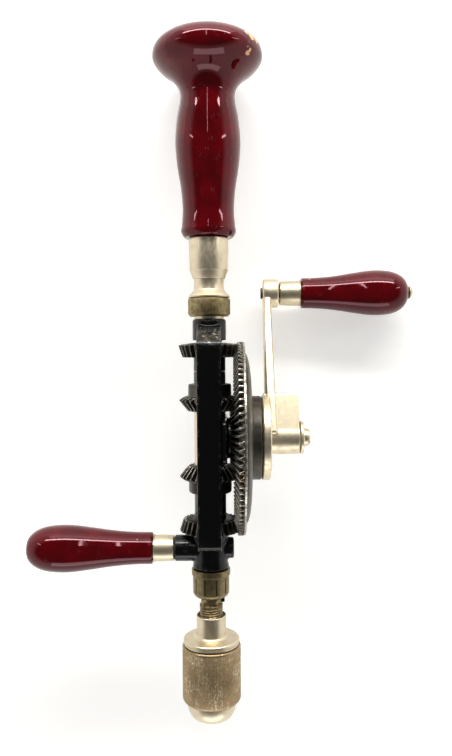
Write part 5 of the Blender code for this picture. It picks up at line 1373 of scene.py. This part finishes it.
class DRILL_OT_spindle(bpy.types.Operator):
    """Turns the threaded spindle with its cross pin"""
    bl_idname = "drill.spindle"
    bl_label = "Spindle"

    def execute(self, context):
        low, high = along("spindle")
        top = along("chuck_body")[1] + THREAD_OVER_CHUCK
        key_low, key_high = along("shift_key")
        bore_low = key_low - BORE_UNDER_KEY
        end, bevel = THREAD_BEVEL
        rings = [[(0, low)], [(end, low)] * SPINDLE_STEPS]
        rings += threaded(THREAD_RADIUS, THREAD_DEPTH, THREAD_PITCH, low + bevel, top)
        plain = above(top, THREAD_RUNOUT)
        plain += [(SPINDLE_RADIUS, high - bevel), (SPINDLE_RADIUS - bevel, high),
                  (SPINDLE_BORE, high), (SPINDLE_BORE, bore_low)]
        rings += [[point] * SPINDLE_STEPS for point in plain] + [[(0, bore_low)]]
        spindle = shape("threaded_spindle", lofted(rings, SPINDLE_STEPS))
        slot = prism(rectangle(*KEY_SLOT), key_low - WALL_GAP, key_high + KEY_TRAVEL)
        pin_height = sum(along("spindle_pin")) / 2
        pin_line = Matrix.Translation((0, 0, pin_height)) @ Matrix.Rotation(math.pi / 2, 4, "Y")
        cleared(combined(spindle, [slot, bar(*CROSS_HOLE, pin_line, 32)], "DIFFERENCE"))
        dressed(spindle, SPINDLE, rusty_steel("rusty_spindle"))
        ride(spindle, "spindle", "dark_steel", "spindle")
        left, right = across("spindle_pin")
        radius, ease = CROSS_PIN
        pin = [(0, left), (radius - ease, left), (radius, left + ease), (radius, right - ease),
               (radius - ease, right), (0, right)]
        cross = finished("driven_spindle_pin", turned(pin, 32), SPINDLE @ pin_line,
                         dark_iron("pin_iron", 0.4, 0.5))
        ride(cross, "spindle", "tool_steel", "spindle_pin")
        return {"FINISHED"}


# Chuck body up from its nose, whose cone is a quarter of an ellipse
NOSE_HEIGHT = 0.0085
NOSE_STEPS = 16
NOSE_FOOT = ((0.0049, 0.0006), (0.0055, 0), (0.0079, 0), (0.0082, 0.0002))
NOSE_CONE = (0.0083, 0.0048)
NOSE_BAND = ((0.0131, 0.0002), (0.0134, 0.0004))
BODY_RADIUS = 0.0134
NUT_GROOVE = 0.0073
# Flange over the sleeve, the fillet up to the neck, and the counterbore at the top
FLANGE_HEIGHT = 0.0033
FLANGE = ((BODY_RADIUS, 0), (0.0143, 0), (0.0146, 0.0003), (0.0146, 0.0009), (0.0143, 0.0011),
          (0.0143, 0.0014), (0.0147, 0.0016), (0.0149, 0.0019))
FLANGE_TOP = ((0.0149, -0.0007), (0.0147, -0.0003), (0.0143, 0), (0.01065, 0.0003))
NECK = 0.00785
NECK_FILLET = (0.0026, 0.0022)
NECK_TOP = ((NECK, -0.0004), (NECK - 0.0002, -0.0001), (NECK - 0.0005, 0), (0.0072, -0.0002),
            (0.0068, -0.0011), (0.00655, -0.0012))
BODY_BORE = (0.0065, 0.0067)
MOUTH = 0.0049
RUST_DEPTH = 0.0014
# Knurled sleeve: bore and radius
SLEEVE_BORE = 0.01395
SLEEVE_RADIUS = 0.01556
# The chuck's jaws, as the solids have them
JAW_COUNT = 3
JAW_RADIUS = 0.003
JAW_TILT = math.radians(15)
JAW_TOP_OFFSET = 0.0096
JAW_TOP = 0.001
JAW_OPENING = 0.005
JAW_LENGTH = 0.026
JAW_BEVEL = 0.0003
JAW_ROOM = 0.00025
JAW_HOLE_LOW = -0.0622


def jaw_places():
    """Guide and slide of each jaw."""
    for index in range(JAW_COUNT):
        guide = Matrix.Rotation(math.tau * index / JAW_COUNT + math.pi / 2, 4, "Z")
        slide = Matrix.Translation((JAW_TOP_OFFSET, 0, JAW_TOP)) @ Matrix.Rotation(JAW_TILT, 4, "Y")
        yield index + 1, guide, guide @ slide


class DRILL_OT_chuck(bpy.types.Operator):
    """Turns the chuck's body, knurled sleeve and jaws"""
    bl_idname = "drill.chuck"
    bl_label = "Chuck"

    def execute(self, context):
        nose, top = along("chuck_body")
        sleeve_low, sleeve_high = along("chuck_sleeve")
        nut_low, nut_high = along("chuck_nut_front")
        nose_top = nose + NOSE_HEIGHT
        flange = sleeve_high + WALL_GAP
        rim = flange + FLANGE_HEIGHT
        inner, spread = NOSE_CONE
        outline = [(0, 0), (MOUTH, 0)] + above(nose, NOSE_FOOT)
        outline += [(inner + spread * math.sin(t), nose_top - NOSE_HEIGHT * math.cos(t)) for t in
                    [math.pi / 2 * step / NOSE_STEPS for step in range(1, NOSE_STEPS + 1)]]
        outline += above(nose_top, NOSE_BAND)
        outline += [(BODY_RADIUS, nut_low - WALL_GAP), (NUT_GROOVE, nut_low - WALL_GAP),
                    (NUT_GROOVE, nut_high + WALL_GAP), (BODY_RADIUS, nut_high + WALL_GAP)]
        outline += above(flange, FLANGE) + above(rim, FLANGE_TOP)
        rise, fillet = NECK_FILLET
        outline += arc((NECK + fillet, rim + rise), fillet, 262, 180, 10) + above(top, NECK_TOP)
        outline += [BODY_BORE, (0, BODY_BORE[1])]
        body = shape("turned_chuck_body", turned(outline, 96))
        holes = [bar(JAW_RADIUS + JAW_ROOM, JAW_HOLE_LOW, WALL_GAP, slide, 48)
                 for _, _, slide in jaw_places()]
        cleared(combined(body, holes, "DIFFERENCE"))
        dressed(body, SPINDLE, worn_nickel("chuck_nickel", 0.3))
        finish_where(body, rusty_steel("rusty_spindle"), lambda centre: centre.y > top - RUST_DEPTH
                     and math.hypot(centre.x, centre.z) < NECK - 0.0002)
        ride(body, "spindle", "worn_nickel", "chuck_body")
        self.sleeve(context.scene.drill_gears, sleeve_low, sleeve_high)
        self.jaws()
        return {"FINISHED"}

    def sleeve(self, gears, low, high):
        """Straight-knurled sleeve that turns the nut."""
        outer = SLEEVE_RADIUS
        depth = gears.sleeve_depth
        rows = [(SLEEVE_BORE, low, 0), (outer - 0.0016, low, 0), (outer - 0.001, low + 0.0003, 0),
                (outer - 0.0004, low + 0.0009, depth / 2), (outer, low + 0.0018, depth),
                (outer, (low + high) / 2, depth), (outer, high - 0.0016, depth),
                (outer, high - 0.0014, 0), (outer, high - 0.0008, 0), (outer - 0.0003, high - 0.0002, 0),
                (outer - 0.0006, high, 0), (SLEEVE_BORE, high, 0)]
        sector = sector_of(rows, ridges(gears.sleeve_ridges))
        piece = ring_of("knurled_chuck_sleeve", sector, gears.sleeve_ridges, SPINDLE, knurled_steel())
        ride(piece, "chuck_sleeve", "knurled_steel", "chuck_sleeve")

    def jaws(self):
        """Round jaws ground to a blunt point where they meet on the bit."""
        wide = JAW_TOP_OFFSET * math.tan(math.pi / JAW_COUNT)
        far = JAW_OPENING + JAW_TOP_OFFSET
        outline = [(JAW_OPENING, 0), (far, wide), (-JAW_TOP_OFFSET, wide), (-JAW_TOP_OFFSET, -wide),
                   (far, -wide)]
        for index, guide, slide in jaw_places():
            flat = JAW_RADIUS - JAW_BEVEL
            ground = turned([(0, -JAW_LENGTH), (flat, -JAW_LENGTH), (JAW_RADIUS, JAW_BEVEL - JAW_LENGTH),
                             (JAW_RADIUS, -JAW_BEVEL), (flat, 0), (0, 0)], 48)
            ground.transform(slide)
            jaw = shape(f"ground_jaw_{index}", ground)
            wedge = prism(outline, -2 * JAW_LENGTH, JAW_LENGTH)
            wedge.transform(guide)
            cleared(combined(jaw, [wedge], "DIFFERENCE"))
            dressed(jaw, SPINDLE, bare_steel("jaw_steel", "6f6a62", 0.5))
            ride(jaw, f"jaw_{index}", "tool_steel", f"jaw_{index}")


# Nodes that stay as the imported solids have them, inside other pieces, and their finishes
INNER_NODES = {
    **dict.fromkeys(("handle_bolt", "socket_pin", "thrust_race", "wheel_stud", "side_stud", "ball_cage",
                     "shift_rod", "shift_key", "pawl_1", "pawl_2", "ratchet_detent"), bare_steel),
    **dict.fromkeys(("top_bush", "bottom_bush", "shift_slider"), oiled_bronze),
    **dict.fromkeys(("chuck_nut_front", "chuck_nut_back"), rusty_steel),
}


class DRILL_OT_inner_parts(bpy.types.Operator):
    """Gives the bearings, studs, pawls and other inner parts their bronze and steel"""
    bl_idname = "drill.inner_parts"
    bl_label = "Inner parts"

    def execute(self, context):
        for node, look in INNER_NODES.items():
            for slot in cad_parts[node].material_slots:
                slot.material = look()
        return {"FINISHED"}


def lamp(name, place, aim, size, power, colour_hex="ffffff"):
    """Soft rectangular lamp that points at a place."""
    data = bpy.data.lights.new(name, "AREA")
    data.shape = "RECTANGLE"
    data.size, data.size_y = size
    data.energy = power
    data.color = linear(colour_hex)
    made = bpy.data.objects.new(name, data)
    bpy.context.collection.objects.link(made)
    made.location = place
    made.rotation_euler = (Vector(aim) - Vector(place)).to_track_quat("-Z", "Y").to_euler()
    return made


WHITE = (1, 1, 1, 1)


def bench_material():
    """Pale matt bench: its colour alone makes the white ground, and it keeps the drill's shadow."""
    made = bpy.data.materials.new("pale_bench")
    made.use_nodes = True
    tree = made.node_tree
    shader = tree.nodes["Principled BSDF"]
    filled(tree, shader, {"Base Color": rgba(linear("f2f1ee")), "Roughness": 0.9})
    rays = add(tree, "rays").node.outputs
    mirrored = add(tree, "maximum", rays["Is Glossy Ray"], rays["Is Transmission Ray"])
    shown = add(tree, "maximum", rays["Is Camera Ray"], mirrored)
    # The lamps reach less of the bench far from the drill, and its own light makes up for that
    away = add(tree, "length", add(tree, "coordinates").node.outputs["Object"])
    level = add(tree, "span", away, 0.45, 1.4, 0.36, 0.8)
    glow = add(tree, "emission", WHITE, add(tree, "multiply", shown, level))
    filled(tree, tree.nodes["Material Output"], {"Surface": add(tree, "both", shader.outputs[0], glow)})
    return made


def room(horizon, ceiling):
    """Pale walls that gloss and metal mirror under a darker ceiling; white to the camera."""
    world = bpy.data.worlds.new("studio")
    bpy.context.scene.world = world
    world.use_nodes = True
    tree = world.node_tree
    around = add(tree, "axes", add(tree, "coordinates").node.outputs["Generated"]).node.outputs
    level = add(tree, "span", around["Z"], 0.34, 0.6, horizon, ceiling)
    shown = add(tree, "maximum", add(tree, "rays").node.outputs["Is Camera Ray"], level)
    filled(tree, tree.nodes["Background"], {"Color": WHITE, "Strength": shown})


# Brightness of what gloss mirrors, low round the drill and overhead
HORIZON_LEVEL = 1.15
CEILING_LEVEL = 0.12
# Half the bench's width, the level of the wheel's lowest tooth, and the middle of the picture
BENCH_REACH = 3.0
WHEEL_FOOT = -0.0509
PICTURE_MIDDLE = Vector((0.0086, 0.1448, 0))
# The camera's sensor and lens in millimetres, and how near it sees
SENSOR = 36
LENS = SENSOR * 720 / 756
CLIP_START = 0.01
# Lamps round the drill's middle: place, aim, size, power and tint
LAMPS = (
    ("head_tube", (0, 0.82, 0.53), (0, 0.02, 0), (1.4, 0.1), 12.6, "fffdf9"),
    ("head_wall", (0.05, 1.0, 0.3), (0, 0, 0), (1.3, 0.32), 3.2, "ffffff"),
    ("left_lamp", (-0.72, 0.34, 0.46), (0, 0.05, 0), (0.025, 0.2), 0.22, "ffffff"),
    ("right_lamp", (0.72, 0.34, 0.46), (0, 0.05, 0), (0.035, 0.24), 0.45, "ffffff"),
    ("over_lamp", (-0.01, 0.62, 0.78), (0, 0.05, 0), (0.016, 0.5), 0.42, "ffffff"),
    ("foot_wall", (0.05, -0.85, 0.33), (0, -0.05, 0), (0.9, 0.3), 2.0, "ffffff"),
)


class DRILL_OT_stage(bpy.types.Operator):
    """Lays the drill on a pale bench under soft lamps and places the camera"""
    bl_idname = "drill.stage"
    bl_label = "Bench, lamps and camera"

    def execute(self, context):
        values = context.scene.drill_stage
        self.bench(values.bench_tilt)
        for name, place, aim, size, power, tint in LAMPS:
            lamp(name, PICTURE_MIDDLE + Vector(place), PICTURE_MIDDLE + Vector(aim), size,
                 power * values.lamp_power, tint)
        room(HORIZON_LEVEL, CEILING_LEVEL)
        data = bpy.data.cameras.new("photograph")
        data.sensor_width = SENSOR
        data.lens = LENS
        data.clip_start = CLIP_START
        camera = bpy.data.objects.new("photograph", data)
        context.collection.objects.link(camera)
        turn = Matrix.Rotation(-values.camera_tilt, 4, "X") @ Matrix.Rotation(values.camera_roll, 4, "Z")
        camera.matrix_world = (Matrix.Translation(PICTURE_MIDDLE) @ turn
                               @ Matrix.Translation((0, 0, values.camera_distance)))
        context.scene.camera = camera
        context.scene.view_settings.view_transform = "Standard"
        return {"FINISHED"}

    def bench(self, tilt):
        """Plane that the wheel's rim, the handle's head and the turning grip rest on."""
        mesh = bmesh.new()
        reach = BENCH_REACH
        height = (WHEEL_FOOT - WHEEL_AXIS * math.sin(tilt)) / math.cos(tilt)
        slope = math.tan(tilt)
        corners = [mesh.verts.new((x, y, height + y * slope)) for x, y in
                   ((-reach, -reach), (reach, -reach), (reach, reach), (-reach, reach))]
        mesh.faces.new(corners)
        floor = shape("bench", mesh)
        if floor.data.polygons[0].normal.z < 0:
            floor.data.flip_normals()
        floor.data.materials.append(bench_material())


class DRILL_PT_panel(bpy.types.Panel):
    """Builds the drill piece by piece"""
    bl_idname = "DRILL_PT_panel"
    bl_label = "Hand drill"
    bl_space_type = "VIEW_3D"
    bl_region_type = "UI"
    bl_category = "Hand drill"

    def draw(self, context):
        for operator in OPERATORS:
            self.layout.operator(operator.bl_idname)


OPERATORS = (DRILL_OT_handles, DRILL_OT_ferrules, DRILL_OT_frame, DRILL_OT_wheel, DRILL_OT_pinions,
             DRILL_OT_crank, DRILL_OT_collars, DRILL_OT_spindle, DRILL_OT_chuck, DRILL_OT_inner_parts,
             DRILL_OT_stage)
SETTINGS = {"drill_handles": HandleSettings, "drill_metals": MetalSettings, "drill_gears": GearSettings,
            "drill_stage": StageSettings}


def register():
    for settings_class in SETTINGS.values():
        bpy.utils.register_class(settings_class)
    for name, settings_class in SETTINGS.items():
        setattr(bpy.types.Scene, name, PointerProperty(type=settings_class))
    for operator in OPERATORS:
        bpy.utils.register_class(operator)
    bpy.utils.register_class(DRILL_PT_panel)


def unregister():
    bpy.utils.unregister_class(DRILL_PT_panel)
    for operator in reversed(OPERATORS):
        bpy.utils.unregister_class(operator)
    for name, settings_class in SETTINGS.items():
        delattr(bpy.types.Scene, name)
        bpy.utils.unregister_class(settings_class)


def main():
    register()
    for operator in OPERATORS:
        group, name = operator.bl_idname.split(".")
        getattr(getattr(bpy.ops, group), name)()
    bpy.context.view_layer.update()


if __name__ == "__main__":
    main()
